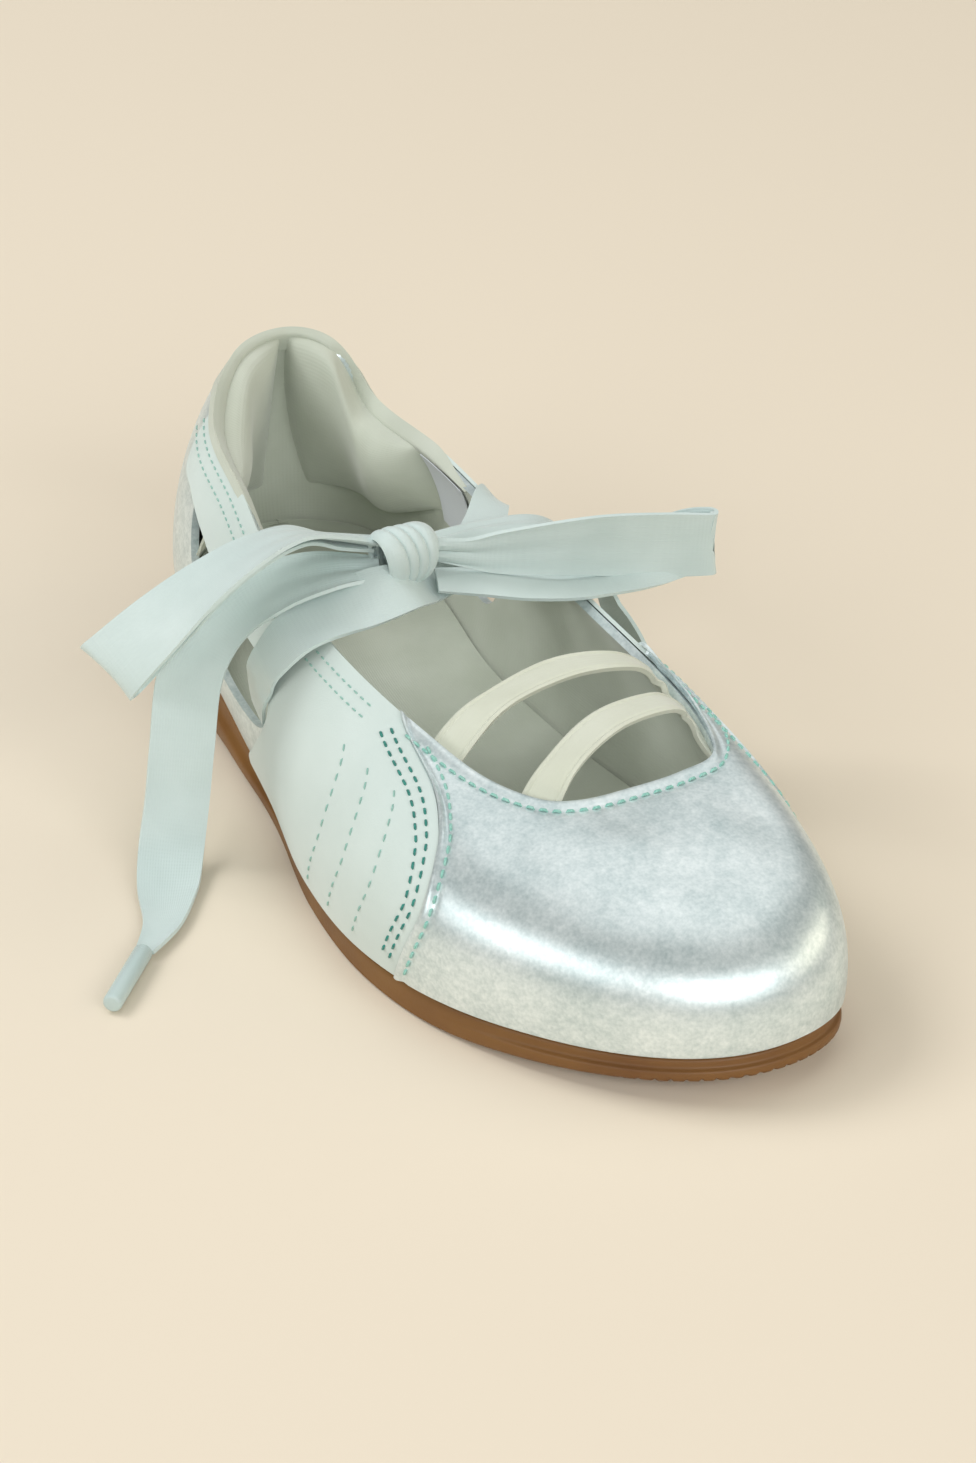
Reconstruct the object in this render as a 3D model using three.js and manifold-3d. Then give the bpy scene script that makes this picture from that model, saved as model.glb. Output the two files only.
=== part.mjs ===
// A right ballet sneaker: a satin and nubuck slip-on upper on a thin gum sole, with a padded heel collar,
// two elastic straps over the instep and a ribbon that is tied in a bow.
// Millimetres, +X towards the toe, +Y towards the inner (medial) side, +Z up, standing on its sole.
import * as THREE from "three";
import { mergeVertices } from "three/addons/utils/BufferGeometryUtils.js";
import Module from "manifold-3d";

const wasm = await Module();
wasm.setup();

// Driving sizes of the shoe
const GAP = 0.3; // running gap between pieces that touch on the real shoe
const UPPER_WALL = 1.8; // satin, foam and lining together
const QUARTER_THICK = 0.8; // nubuck quarters stitched over the upper
const VAMP_THICK = 1.1; // satin vamp that laps over the quarters' front edges
const INSOLE_THICK = 2.5;
const PAD_THICK = 9.5; // heel collar pads at their fullest
const TOE_SPRING = 5; // rise of the sole's underside at the toe
const ARCH_RISE = 2.2; // rise of the sole's underside at the waist
const HEEL_ROLL = 4; // rise of the sole's underside at the very back
const RIBBON_THICK = 0.9;
const ELASTIC_WIDE = 8.5;
const ELASTIC_THICK = 1.5;

// The last: one row for each section, round the shoe from the middle of the heel past the outer side to the
// toe tip and back along the inner side. foot is the upper's bottom edge, top is the topline, and cap is 0
// for an upright wall and 1 for a toe box that folds over.
const LAST = [
  { name: "heel", footX: 5, footY: 4, footZ: 14, topX: 8, topY: 6.5, topZ: 66.5, cap: 0 },
  { name: "heel_turn_out", footX: 12, footY: -17, footZ: 14, topX: 14.5, topY: -8, topZ: 65, cap: 0 },
  { name: "heel_side_out", footX: 34, footY: -29, footZ: 14, topX: 34, topY: -19, topZ: 57, cap: 0 },
  { name: "counter_out", footX: 60, footY: -33, footZ: 13, topX: 60, topY: -21.5, topZ: 52, cap: 0 },
  { name: "waist_out", footX: 90, footY: -35, footZ: 10.5, topX: 88, topY: -24.5, topZ: 48.5, cap: 0 },
  { name: "neck_out", footX: 120, footY: -36.5, footZ: 7.5, topX: 115, topY: -25.5, topZ: 48, cap: 0.05 },
  { name: "quarter_out", footX: 150, footY: -40, footZ: 6.5, topX: 140, topY: -24, topZ: 47, cap: 0.15 },
  { name: "ball_out", footX: 178, footY: -39, footZ: 6.5, topX: 160, topY: -19.5, topZ: 44, cap: 0.4 },
  { name: "toe_side_out", footX: 203, footY: -31.5, footZ: 7, topX: 177, topY: -13, topZ: 40, cap: 0.75 },
  { name: "toe_turn_out", footX: 224, footY: -17.5, footZ: 8, topX: 188, topY: -5, topZ: 38.3, cap: 0.95 },
  { name: "toe_front_out", footX: 238.5, footY: -2, footZ: 9, topX: 191.5, topY: 3, topZ: 38, cap: 1 },
  { name: "toe", footX: 245, footY: 14, footZ: 9.5, topX: 191.5, topY: 14, topZ: 38.3, cap: 1 },
  { name: "toe_front_in", footX: 243, footY: 30, footZ: 9.5, topX: 190.5, topY: 25.5, topZ: 39, cap: 1 },
  { name: "toe_turn_in", footX: 233, footY: 40.5, footZ: 9, topX: 187, topY: 34.5, topZ: 40, cap: 0.9 },
  { name: "ball_in", footX: 211, footY: 45, footZ: 7.5, topX: 172, topY: 37, topZ: 42, cap: 0.6 },
  { name: "quarter_in", footX: 180, footY: 45, footZ: 6.5, topX: 152, topY: 36, topZ: 44, cap: 0.3 },
  { name: "arch_front_in", footX: 150, footY: 39.5, footZ: 7, topX: 130, topY: 33.5, topZ: 46, cap: 0.15 },
  { name: "arch_in", footX: 120, footY: 32, footZ: 9, topX: 108, topY: 31, topZ: 48, cap: 0.05 },
  { name: "waist_in", footX: 90, footY: 28, footZ: 11, topX: 85, topY: 29, topZ: 50, cap: 0 },
  { name: "counter_in", footX: 60, footY: 29, footZ: 13, topX: 56, topY: 26.5, topZ: 51.8, cap: 0 },
  { name: "heel_side_in", footX: 34, footY: 29, footZ: 14, topX: 27, topY: 22, topZ: 52.6, cap: 0 },
  { name: "heel_turn_in", footX: 14, footY: 22, footZ: 14, topX: 16.5, topY: 16.5, topZ: 64.8, cap: 0 },
];
const ROUND = LAST.length;

// Shape of an upright wall and of the toe box between the bottom edge and the topline
const PROFILE = {
  lowOut: [4.5, 2.2], // outward swell low on the wall, in mm
  lowRise: [0.3, 0.62], // its height as a share of the wall
  highOut: [4.2, 0], // outward swell high on the wall
  highIn: [0.3, 0.17], // share of the way across to the topline there
  highRise: [0.74, 0.9],
};

const mix = THREE.MathUtils.lerp;
const smooth = (x, low, high) => THREE.MathUtils.smoothstep(x, low, high);

// A column of a table between its rows, as a Catmull-Rom curve; closed tables run round.
function column(table, key, s, closed = true) {
  const n = table.length;
  const i = Math.floor(s);
  const f = s - i;
  const pick = (k) => table[closed ? ((k % n) + n) % n : THREE.MathUtils.clamp(k, 0, n - 1)][key];
  const [a, b, c, d] = [pick(i - 1), pick(i), pick(i + 1), pick(i + 2)];
  return b + 0.5 * f * (c - a + f * (2 * a - 5 * b + 4 * c - d + f * (3 * (b - c) + d - a)));
}

const footAt = (s) => new THREE.Vector3(...["footX", "footY", "footZ"].map((k) => column(LAST, k, s)));
const topAt = (s) => new THREE.Vector3(...["topX", "topY", "topZ"].map((k) => column(LAST, k, s)));

// Unit vector in plan, square to the bottom edge and pointing out of the shoe
function outwardAt(s) {
  const along = footAt(s + 0.05).sub(footAt(s - 0.05));
  return new THREE.Vector3(along.y, -along.x, 0).normalize();
}

// A point of the upper's outer face: s counts rows round the shoe, t runs from 0 below to 1 at the topline.
function facePoint(s, t) {
  const foot = footAt(s);
  const top = topAt(s);
  const out = outwardAt(s);
  const rise = top.z - foot.z;
  const shape = (key) => mix(PROFILE[key][0], PROFILE[key][1], column(LAST, "cap", s));
  const low = foot.clone().addScaledVector(out, shape("lowOut"));
  low.z = foot.z + rise * shape("lowRise");
  const high = foot.clone().lerp(top, shape("highIn")).addScaledVector(out, shape("highOut"));
  high.z = foot.z + rise * shape("highRise");
  return new THREE.CubicBezierCurve3(foot, low, high, top).getPoint(t);
}

// The same point moved along the face's normal: lift is outwards.
function skin(s, t, lift) {
  const e = 0.01;
  const round = facePoint(s + e, t).sub(facePoint(s - e, t));
  const up = facePoint(s, Math.min(t + e, 1)).sub(facePoint(s, Math.max(t - e, 0)));
  return facePoint(s, t).addScaledVector(round.cross(up).normalize(), lift);
}

// A closed geometry from rows of points and triangles given by their indices
function geometryOf(points, triangles) {
  const geometry = new THREE.BufferGeometry().setFromPoints(points);
  geometry.setIndex(triangles);
  return geometry;
}

// A closed slab between two faces. at(u, v, side) gives its points, with side 0 inside and 1 outside;
// u runs over nu steps and is joined round when closed, v runs over nv steps.
function slab(at, nu, nv, closed = false) {
  const columns = closed ? nu : nu + 1;
  const points = [];
  for (const side of [0, 1])
    for (let i = 0; i < columns; i++)
      for (let j = 0; j <= nv; j++) points.push(at(i / nu, j / nv, side));
  const id = (i, j, side) => side * columns * (nv + 1) + (i % columns) * (nv + 1) + j;
  const triangles = [];
  const quad = (a, b, c, d) => triangles.push(a, b, c, a, c, d);
  for (let i = 0; i < nu; i++) {
    for (let j = 0; j < nv; j++) {
      quad(id(i, j, 1), id(i + 1, j, 1), id(i + 1, j + 1, 1), id(i, j + 1, 1));
      quad(id(i, j, 0), id(i, j + 1, 0), id(i + 1, j + 1, 0), id(i + 1, j, 0));
    }
    quad(id(i, 0, 0), id(i + 1, 0, 0), id(i + 1, 0, 1), id(i, 0, 1));
    quad(id(i, nv, 1), id(i + 1, nv, 1), id(i + 1, nv, 0), id(i, nv, 0));
  }
  if (!closed)
    for (let j = 0; j < nv; j++) {
      quad(id(0, j, 1), id(0, j + 1, 1), id(0, j + 1, 0), id(0, j, 0));
      quad(id(nu, j, 0), id(nu, j + 1, 0), id(nu, j + 1, 1), id(nu, j, 1));
    }
  return geometryOf(points, triangles);
}

// A solid between rings that run round the shoe, closed below and above by ladders from side to side
function ladderSolid(ringPoint, rings, around, across, lowerZ, upperZ) {
  const points = [];
  for (let k = 0; k < rings; k++) for (let j = 0; j < around; j++) points.push(ringPoint(k, j));
  const triangles = [];
  const id = (k, j) => k * around + (((j % around) + around) % around);
  const quad = (a, b, c, d) => triangles.push(a, b, c, a, c, d);
  for (let k = 0; k + 1 < rings; k++)
    for (let j = 0; j < around; j++) quad(id(k, j), id(k, j + 1), id(k + 1, j + 1), id(k + 1, j));
  const half = around / 2;
  const ladder = (k, height, faceUp) => {
    const rung = [[id(k, 0)]];
    for (let j = 1; j < half; j++) {
      const [a, b] = [points[id(k, j)], points[id(k, -j)]];
      const row = [id(k, j)];
      for (let i = 1; i < across; i++) {
        const p = a.clone().lerp(b, i / across);
        p.z = height(p, i / across);
        row.push(points.push(p) - 1);
      }
      rung.push([...row, id(k, -j)]);
    }
    rung.push([id(k, half)]);
    const face = (a, b, c) => (faceUp ? triangles.push(a, b, c) : triangles.push(a, c, b));
    for (let j = 0; j < half; j++)
      for (let i = 0; i < across; i++) {
        const [near, far] = [rung[j], rung[j + 1]];
        const at = (row, m) => row[Math.min(m, row.length - 1)];
        if (near.length > 1) face(at(near, i), at(far, i), at(near, i + 1));
        if (far.length > 1) face(at(near, i + 1), at(far, i), at(far, i + 1));
      }
  };
  ladder(0, lowerZ, false);
  ladder(rings - 1, upperZ, true);
  return geometryOf(points, triangles);
}

function manifoldOf(geometry) {
  const plain = geometry.clone();
  plain.deleteAttribute("normal");
  plain.deleteAttribute("uv");
  const merged = mergeVertices(plain, 1e-4);
  const vertProperties = new Float32Array(merged.attributes.position.array);
  const triVerts = new Uint32Array(merged.index.array);
  return new wasm.Manifold(new wasm.Mesh({ numProp: 3, vertProperties, triVerts }));
}

function geometryFrom(solid) {
  const mesh = solid.getMesh();
  const geometry = new THREE.BufferGeometry();
  geometry.setAttribute("position", new THREE.BufferAttribute(mesh.vertProperties.slice(), 3));
  geometry.setIndex([...mesh.triVerts]);
  return geometry;
}

// Materials
const finish = (color, roughness) => new THREE.MeshStandardMaterial({ color, roughness, metalness: 0 });
const GUM = finish(0x9a6a3a, 0.55);
const SATIN = finish(0xc9dcd9, 0.3);
const NUBUCK = finish(0xccdad6, 0.85);
const LINING = finish(0xc2c9bb, 0.9);
const ELASTIC = finish(0xd2d6c6, 0.8);
const RIBBON = finish(0xc8d9d6, 0.45);
const FILM = finish(0xb9ccca, 0.25);

const shoe = new THREE.Group();
const ribbon = new THREE.Group();
function add(group, name, geometry, material) {
  const mesh = new THREE.Mesh(geometry, material);
  mesh.name = name;
  group.add(mesh);
}

// Outsole: the bottom edge's outline with a flared band below, a recess above it, an arch and a toe spring.
// out is measured outwards from the upper's bottom edge; up is a share of the sole's height there.
const SOLE_AROUND = 66;
const SOLE_ACROSS = 4;
const SOLE_SIDE = [
  { name: "tread", out: -1.2, up: 0 },
  { name: "edge", out: 1.2, up: 0.1 },
  { name: "band_low", out: 1.9, up: 0.28 },
  { name: "band_top", out: 1.7, up: 0.52 },
  { name: "recess_low", out: 0.2, up: 0.66 },
  { name: "recess_top", out: -0.5, up: 0.97 },
  { name: "bed", out: -4, up: 1 },
];
// Share of the flare that the sole keeps: full at the heel, none under the ball, some round the toe
const flareAt = (x) => 1 - smooth(x, 85, 140) + 0.6 * smooth(x, 200, 228);
const soleBase = (x) =>
  HEEL_ROLL * smooth(-x, -24, -3) ** 2 +
  ARCH_RISE * smooth(x, 66, 92) * smooth(-x, -136, -106) +
  TOE_SPRING * smooth(x, 190, 262) ** 1.2;
function outlineAt(j, out) {
  const s = (j / SOLE_AROUND) * ROUND;
  return footAt(s).addScaledVector(outwardAt(s), out);
}
function soleRing(k, j) {
  const { out, up } = SOLE_SIDE[k];
  const p = outlineAt(j, out > 0 ? out * flareAt(outlineAt(j, out).x) : out);
  const base = soleBase(p.x);
  p.z = base + up * (p.z - GAP - base);
  return p;
}
const ruled = (p) => p.z;
const outsole = ladderSolid(soleRing, SOLE_SIDE.length, SOLE_AROUND, SOLE_ACROSS, (p) => soleBase(p.x), ruled);
add(shoe, "outsole", outsole, GUM);

// Insole: lies on the sole inside the upper
const INSOLE_IN = UPPER_WALL + 1;
function insoleRing(k, j) {
  const p = outlineAt(j, -INSOLE_IN - (k === 2 ? 1 : 0));
  p.z += [GAP, INSOLE_THICK - 0.8, INSOLE_THICK][k];
  return p;
}
const dished = (p, share) => p.z - 0.8 * Math.sin(Math.PI * share);
add(shoe, "insole", ladderSolid(insoleRing, 3, SOLE_AROUND, SOLE_ACROSS, ruled, dished), LINING);

// Upper: one hollow shell with a window cut through each side behind the quarter, longer on the outer side
const WINDOW_OUTER = [
  { x: 45, z: 44.5 },
  { x: 56, z: 41.5 },
  { x: 75, z: 38.5 },
  { x: 95, z: 36.5 },
  { x: 111, z: 35.5 },
  { x: 118, z: 31.5 },
  { x: 117, z: 26 },
  { x: 110, z: 22.5 },
  { x: 95, z: 21.5 },
  { x: 80, z: 22.5 },
  { x: 65, z: 27 },
  { x: 52, z: 36 },
];
const WINDOW_INNER = [
  { x: 45, z: 42 },
  { x: 56, z: 39 },
  { x: 65, z: 37 },
  { x: 73, z: 36 },
  { x: 79, z: 35 },
  { x: 84.5, z: 31.5 },
  { x: 83.5, z: 26.5 },
  { x: 79, z: 23.4 },
  { x: 73, z: 23 },
  { x: 67, z: 25 },
  { x: 60, z: 29.5 },
  { x: 52, z: 35.5 },
];
// A prism along Y over a smooth closed outline in the side view
function sidePrism(outline, low, high, steps = 40) {
  const curve = new THREE.CatmullRomCurve3(
    outline.map((p) => new THREE.Vector3(p.x, p.z, 0)),
    true,
    "centripetal",
  );
  const shape = new THREE.Shape(curve.getPoints(steps).slice(0, -1).map((p) => new THREE.Vector2(p.x, p.y)));
  const prism = new THREE.ExtrudeGeometry(shape, { depth: high - low, bevelEnabled: false });
  return manifoldOf(prism.rotateX(Math.PI / 2).translate(0, high, 0));
}
const SHELL_AROUND = 66;
const SHELL_UP = 8;
function shellOf(inner, outer, low = 0, above = 0) {
  const at = (u, v, side) => {
    const p = skin(u * ROUND, mix(low, 1, v), side ? outer : inner);
    p.z += v < 1 ? 0 : above;
    return p;
  };
  return manifoldOf(slab(at, SHELL_AROUND, SHELL_UP, true));
}
const windows = [sidePrism(WINDOW_OUTER, -70, -8), sidePrism(WINDOW_INNER, 8, 70)];
const upper = windows.reduce((solid, cutter) => solid.subtract(cutter), shellOf(-UPPER_WALL, 0));
add(shoe, "upper", geometryFrom(upper), SATIN);

const COVER_LOW = 0.03; // where the covers start above the sole

// Seam between vamp and quarter: t runs up the wall, s is its place on the outer side
const SEAM = [
  { t: 0, s: 7.52 },
  { t: 0.125, s: 7.62 },
  { t: 0.25, s: 7.73 },
  { t: 0.375, s: 7.83 },
  { t: 0.5, s: 7.87 },
  { t: 0.625, s: 7.87 },
  { t: 0.75, s: 7.8 },
  { t: 0.875, s: 7.52 },
  { t: 1, s: 6.75 },
];
const seamAt = (t) => column(SEAM, "s", t * (SEAM.length - 1), false);
// Vamp: the satin toe piece between the two seams; grow widens it for cutting its bed
const vampSlab = (inner, outer, grow, margin) =>
  slab(
    (u, v, side) => {
      const t = mix(COVER_LOW, 1, v);
      const edge = seamAt(t) - grow * (1 + 2 * t * t);
      const p = skin(mix(edge, ROUND - edge, u), t, side ? outer : inner);
      p.z += v === 1 ? margin : v === 0 ? -margin : 0;
      return p;
    },
    30,
    SHELL_UP,
  );
add(shoe, "vamp", vampSlab(GAP, GAP + VAMP_THICK, 0, 0), SATIN);

// Quarters: nubuck over each side, with a strap that runs back along the topline to the heel
const QUARTER_OUTER = [
  { x: 31, z: 70 },
  { x: 31, z: 50.5 },
  { x: 42, z: 46.3 },
  { x: 56, z: 42.4 },
  { x: 75, z: 39.4 },
  { x: 95, z: 37.4 },
  { x: 111, z: 36.4 },
  { x: 119, z: 31.5 },
  { x: 118, z: 25 },
  { x: 112, z: 18 },
  { x: 106, z: 12 },
  { x: 107, z: 4 },
  { x: 150, z: 2 },
  { x: 225, z: 2 },
  { x: 225, z: 60 },
  { x: 150, z: 75 },
  { x: 60, z: 78 },
];
const QUARTER_INNER = [
  { x: 31, z: 70 },
  { x: 31, z: 48.5 },
  { x: 42, z: 43.9 },
  { x: 56, z: 39.9 },
  { x: 65, z: 37.9 },
  { x: 73, z: 36.9 },
  { x: 80, z: 36 },
  { x: 86, z: 31.5 },
  { x: 85, z: 25.5 },
  { x: 80.5, z: 18.5 },
  { x: 76, z: 12 },
  { x: 77, z: 4 },
  { x: 150, z: 2 },
  { x: 225, z: 2 },
  { x: 225, z: 60 },
  { x: 150, z: 75 },
  { x: 60, z: 78 },
];
const vampRoom = [0, 0.8].map((margin) => manifoldOf(vampSlab(-2, 4, 0.024, margin)));
const quarterShell = vampRoom.reduce((s, room) => s.subtract(room), shellOf(GAP, GAP + QUARTER_THICK, COVER_LOW));
const biggest = (solid) => solid.decompose().sort((a, b) => b.volume() - a.volume())[0];
const quarterOf = (outline, low, high) => biggest(quarterShell.intersect(sidePrism(outline, low, high, 70)));
add(shoe, "quarter_outer", geometryFrom(quarterOf(QUARTER_OUTER, -70, -6)), NUBUCK);
add(shoe, "quarter_inner", geometryFrom(quarterOf(QUARTER_INNER, 6, 70)), NUBUCK);

// Collar pads: two cushions inside the heel that meet in a crease at its top and part below it
const PAD = { from: 0.07, part: [0.06, 0.32], to: 2.78, low: 0.26, high: 0.985, edge: 1.2, aimX: 44, aimY: 3 };
function padSlab(mirrored) {
  const at = (u, v, side) => {
    const from = PAD.from + PAD.part[mirrored ? 1 : 0] * (1 - v) ** 2;
    const s = mix(from, PAD.to, mirrored ? 1 - u : u);
    const low = mix(PAD.low, 0.6, smooth(s, 1.4, 3.2));
    const swell = Math.sin(Math.PI * u) ** 0.5 * Math.sin(Math.PI * v) ** 0.5;
    const p = skin(mirrored ? ROUND - s : s, mix(low, PAD.high, v), -UPPER_WALL - 2 * GAP);
    const inward = new THREE.Vector3(PAD.aimX - p.x, PAD.aimY - p.y, 0).normalize();
    return side ? p : p.addScaledVector(inward, PAD.edge + (PAD_THICK - PAD.edge) * swell);
  };
  return slab(at, 16, 7);
}
add(shoe, "collar_pad_outer", padSlab(false), LINING);
add(shoe, "collar_pad_inner", padSlab(true), LINING);

// A flat tape along a table of points: x, y, z are its middle, ax, ay, az point across it, wide is its width.
function tape(table, thick, steps) {
  const last = table.length - 1;
  const at = (key, u) => column(table, key, Math.min(u, 1) * last, false);
  const middle = (u) => new THREE.Vector3(at("x", u), at("y", u), at("z", u));
  const frame = (u) => {
    const along = middle(Math.min(u + 0.004, 1)).sub(middle(Math.max(u - 0.004, 0))).normalize();
    const across = new THREE.Vector3(at("ax", u), at("ay", u), at("az", u));
    across.addScaledVector(along, -across.dot(along)).normalize();
    return { across, face: across.clone().cross(along) };
  };
  return slab(
    (u, v, side) => {
      const { across, face } = frame(u);
      const p = middle(u).addScaledVector(across, (v - 0.5) * at("wide", u));
      return p.addScaledVector(face, (side ? -0.5 : 0.5) * thick);
    },
    steps,
    1,
  );
}

// Elastic straps: from the wall inside the outer topline, over the instep, to the wall inside the inner one
const tuck = (s, t, lift) => {
  const p = skin(s, t, lift);
  const along = topAt(s + 0.1).sub(topAt(s - 0.1));
  const turn = s > ROUND / 2 ? -1 : 1;
  return { x: p.x, y: p.y, z: p.z, ax: turn * along.x, ay: turn * along.y, az: turn * along.z, wide: ELASTIC_WIDE };
};
const wallRoom = shellOf(-UPPER_WALL - GAP, GAP + VAMP_THICK + GAP, 0, GAP);
const STRAPS = [
  {
    name: "elastic_rear",
    near: 7.4,
    far: 14.72,
    over: [
      { x: 162.5, y: -5.5, z: 46.6 },
      { x: 158.5, y: 12, z: 50 },
      { x: 158.5, y: 26.5, z: 49.2 },
    ],
  },
  {
    name: "elastic_front",
    near: 8.95,
    far: 14.02,
    over: [
      { x: 183.5, y: 2.5, z: 43 },
      { x: 177, y: 15, z: 46.8 },
      { x: 173.5, y: 28, z: 46.6 },
    ],
  },
];
for (const strap of STRAPS) {
  const over = strap.over.map((p) => ({ ...p, ax: 1, ay: 0.28, az: 0, wide: ELASTIC_WIDE }));
  const near = [tuck(strap.near, 0.86, -1), tuck(strap.near, 0.97, -3.4)];
  const far = [tuck(strap.far, 1, -3.4), tuck(strap.far, 0.97, -1.2)];
  const whole = manifoldOf(tape([...near, ...over, ...far], ELASTIC_THICK, 28));
  add(shoe, strap.name, geometryFrom(biggest(whole.subtract(wallRoom))), ELASTIC);
}

// Ribbon: a band from window to window under the knot, then the knot, two loops and two ends
const onWall = (s, t, lift, wide) => {
  const p = skin(s, t, lift);
  const along = facePoint(s + 0.1, t).sub(facePoint(s - 0.1, t));
  const turn = s > ROUND / 2 ? -1 : 1;
  return { x: p.x, y: p.y, z: p.z, ax: turn * along.x, ay: turn * along.y, az: turn * along.z, wide };
};
const LIFT = GAP + QUARTER_THICK + GAP + RIBBON_THICK / 2 + 0.15;
const BAND = [
  onWall(4.78, 0.45, 0.2, 7),
  { x: 115.3, y: -38.4, z: 34.5, ax: 1, ay: 0.1, az: 0, wide: 9 },
  { x: 118.3, y: -36.8, z: 42.2, ax: 1, ay: 0.15, az: 0, wide: 11.5 },
  { x: 121, y: -31.2, z: 48.8, ax: 1, ay: 0.25, az: 0, wide: 13 },
  { x: 121, y: -20, z: 52.6, ax: 1, ay: 0.35, az: 0, wide: 13.5 },
  { x: 115, y: -5, z: 51.3, ax: 0.9, ay: 0.35, az: -0.15, wide: 11 },
  { x: 107, y: 13, z: 51.6, ax: 1, ay: 0.25, az: 0, wide: 12 },
  { x: 89.8, y: 24.5, z: 53.2, ax: 1, ay: 0.15, az: 0, wide: 12 },
  onWall(18.29, 0.95, LIFT + 2, 12),
  onWall(18.37, 0.75, LIFT + 1, 10.5),
  onWall(18.44, 0.6, LIFT + 0.5, 8.5),
  onWall(18.51, 0.45, 0.2, 7),
];
add(shoe, "ribbon_band", tape(BAND, RIBBON_THICK, 50), RIBBON);

const KNOT = { x: 114.5, y: -4, z: 58, long: 10.2, wide: 12.4, high: 10.8 };
const knot = new THREE.SphereGeometry(0.5, 16, 10).scale(KNOT.wide, KNOT.long, KNOT.high);
add(ribbon, "ribbon_knot", knot.rotateZ(-0.35).translate(KNOT.x, KNOT.y, KNOT.z), RIBBON);

const LOOP_OUTER = [
  { x: 111.5, y: -9.8, z: 62.6, ax: 0.93, ay: 0.05, az: 0.3, wide: 8 },
  { x: 111.5, y: -18.5, z: 65.2, ax: 0.93, ay: 0.05, az: 0.34, wide: 11.5 },
  { x: 112.2, y: -28, z: 67.6, ax: 0.93, ay: 0.08, az: 0.26, wide: 13.5 },
  { x: 113.2, y: -38, z: 66, ax: 0.95, ay: 0.1, az: 0.1, wide: 14.5 },
  { x: 113.8, y: -48.6, z: 60.9, ax: 0.94, ay: 0.14, az: -0.06, wide: 15 },
  { x: 113.3, y: -59, z: 53.2, ax: 0.88, ay: 0.28, az: -0.25, wide: 15.5 },
  { x: 111.8, y: -68.6, z: 44.6, ax: 0.74, ay: 0.42, az: -0.46, wide: 15.5 },
  { x: 109.7, y: -69.5, z: 41.7, ax: 0.62, ay: 0.5, az: -0.6, wide: 15.5 },
  { x: 105.8, y: -65.4, z: 40.2, ax: 0.62, ay: 0.5, az: -0.6, wide: 13.5 },
  { x: 106.9, y: -56.4, z: 48, ax: 0.8, ay: 0.34, az: -0.42, wide: 12.5 },
  { x: 107.4, y: -46, z: 56.3, ax: 0.94, ay: 0.14, az: -0.06, wide: 13.5 },
  { x: 107.1, y: -35.5, z: 62.2, ax: 0.95, ay: 0.1, az: 0.05, wide: 14 },
  { x: 106.6, y: -25.7, z: 64.1, ax: 0.93, ay: 0.08, az: 0.1, wide: 12.5 },
  { x: 107.6, y: -17.4, z: 61.4, ax: 0.93, ay: 0.05, az: 0.1, wide: 9.5 },
  { x: 109.2, y: -9.8, z: 59.8, ax: 0.92, ay: 0.05, az: 0.1, wide: 7.5 },
];
const LOOP_INNER = [
  { x: 116, y: 1.8, z: 59.6, ax: 0.25, ay: 0, az: 0.95, wide: 6.5 },
  { x: 117.5, y: 9, z: 58.2, ax: 0.2, ay: 0, az: 0.97, wide: 8 },
  { x: 119, y: 17.5, z: 57.9, ax: 0.15, ay: 0, az: 0.98, wide: 10 },
  { x: 122.3, y: 36.5, z: 57.4, ax: 0.1, ay: 0, az: 0.99, wide: 13.5 },
  { x: 125.6, y: 52, z: 56.2, ax: 0.05, ay: 0, az: 1, wide: 14.8 },
  { x: 128, y: 61, z: 55.3, ax: 0.02, ay: 0, az: 1, wide: 15 },
  { x: 130.3, y: 62.4, z: 55, ax: -0.08, ay: 0, az: 1, wide: 15 },
  { x: 131, y: 60.6, z: 55, ax: -0.14, ay: 0, az: 0.99, wide: 14.8 },
  { x: 129.6, y: 54, z: 51.2, ax: -0.75, ay: 0, az: 0.66, wide: 13 },
  { x: 128.6, y: 45, z: 49.6, ax: -0.97, ay: 0, az: 0.2, wide: 12.5 },
  { x: 127.5, y: 33, z: 50, ax: -0.99, ay: 0, az: 0.05, wide: 12.5 },
  { x: 124, y: 20.5, z: 51.2, ax: -0.98, ay: 0, az: 0.1, wide: 11.5 },
  { x: 120.2, y: 10.5, z: 52.4, ax: -0.95, ay: 0, az: 0.2, wide: 9.5 },
  { x: 117.5, y: 1.8, z: 53.2, ax: -0.92, ay: 0, az: 0.25, wide: 7.5 },
];
add(ribbon, "ribbon_loop_outer", tape(LOOP_OUTER, RIBBON_THICK, 48), RIBBON);
add(ribbon, "ribbon_loop_inner", tape(LOOP_INNER, RIBBON_THICK, 48), RIBBON);

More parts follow.
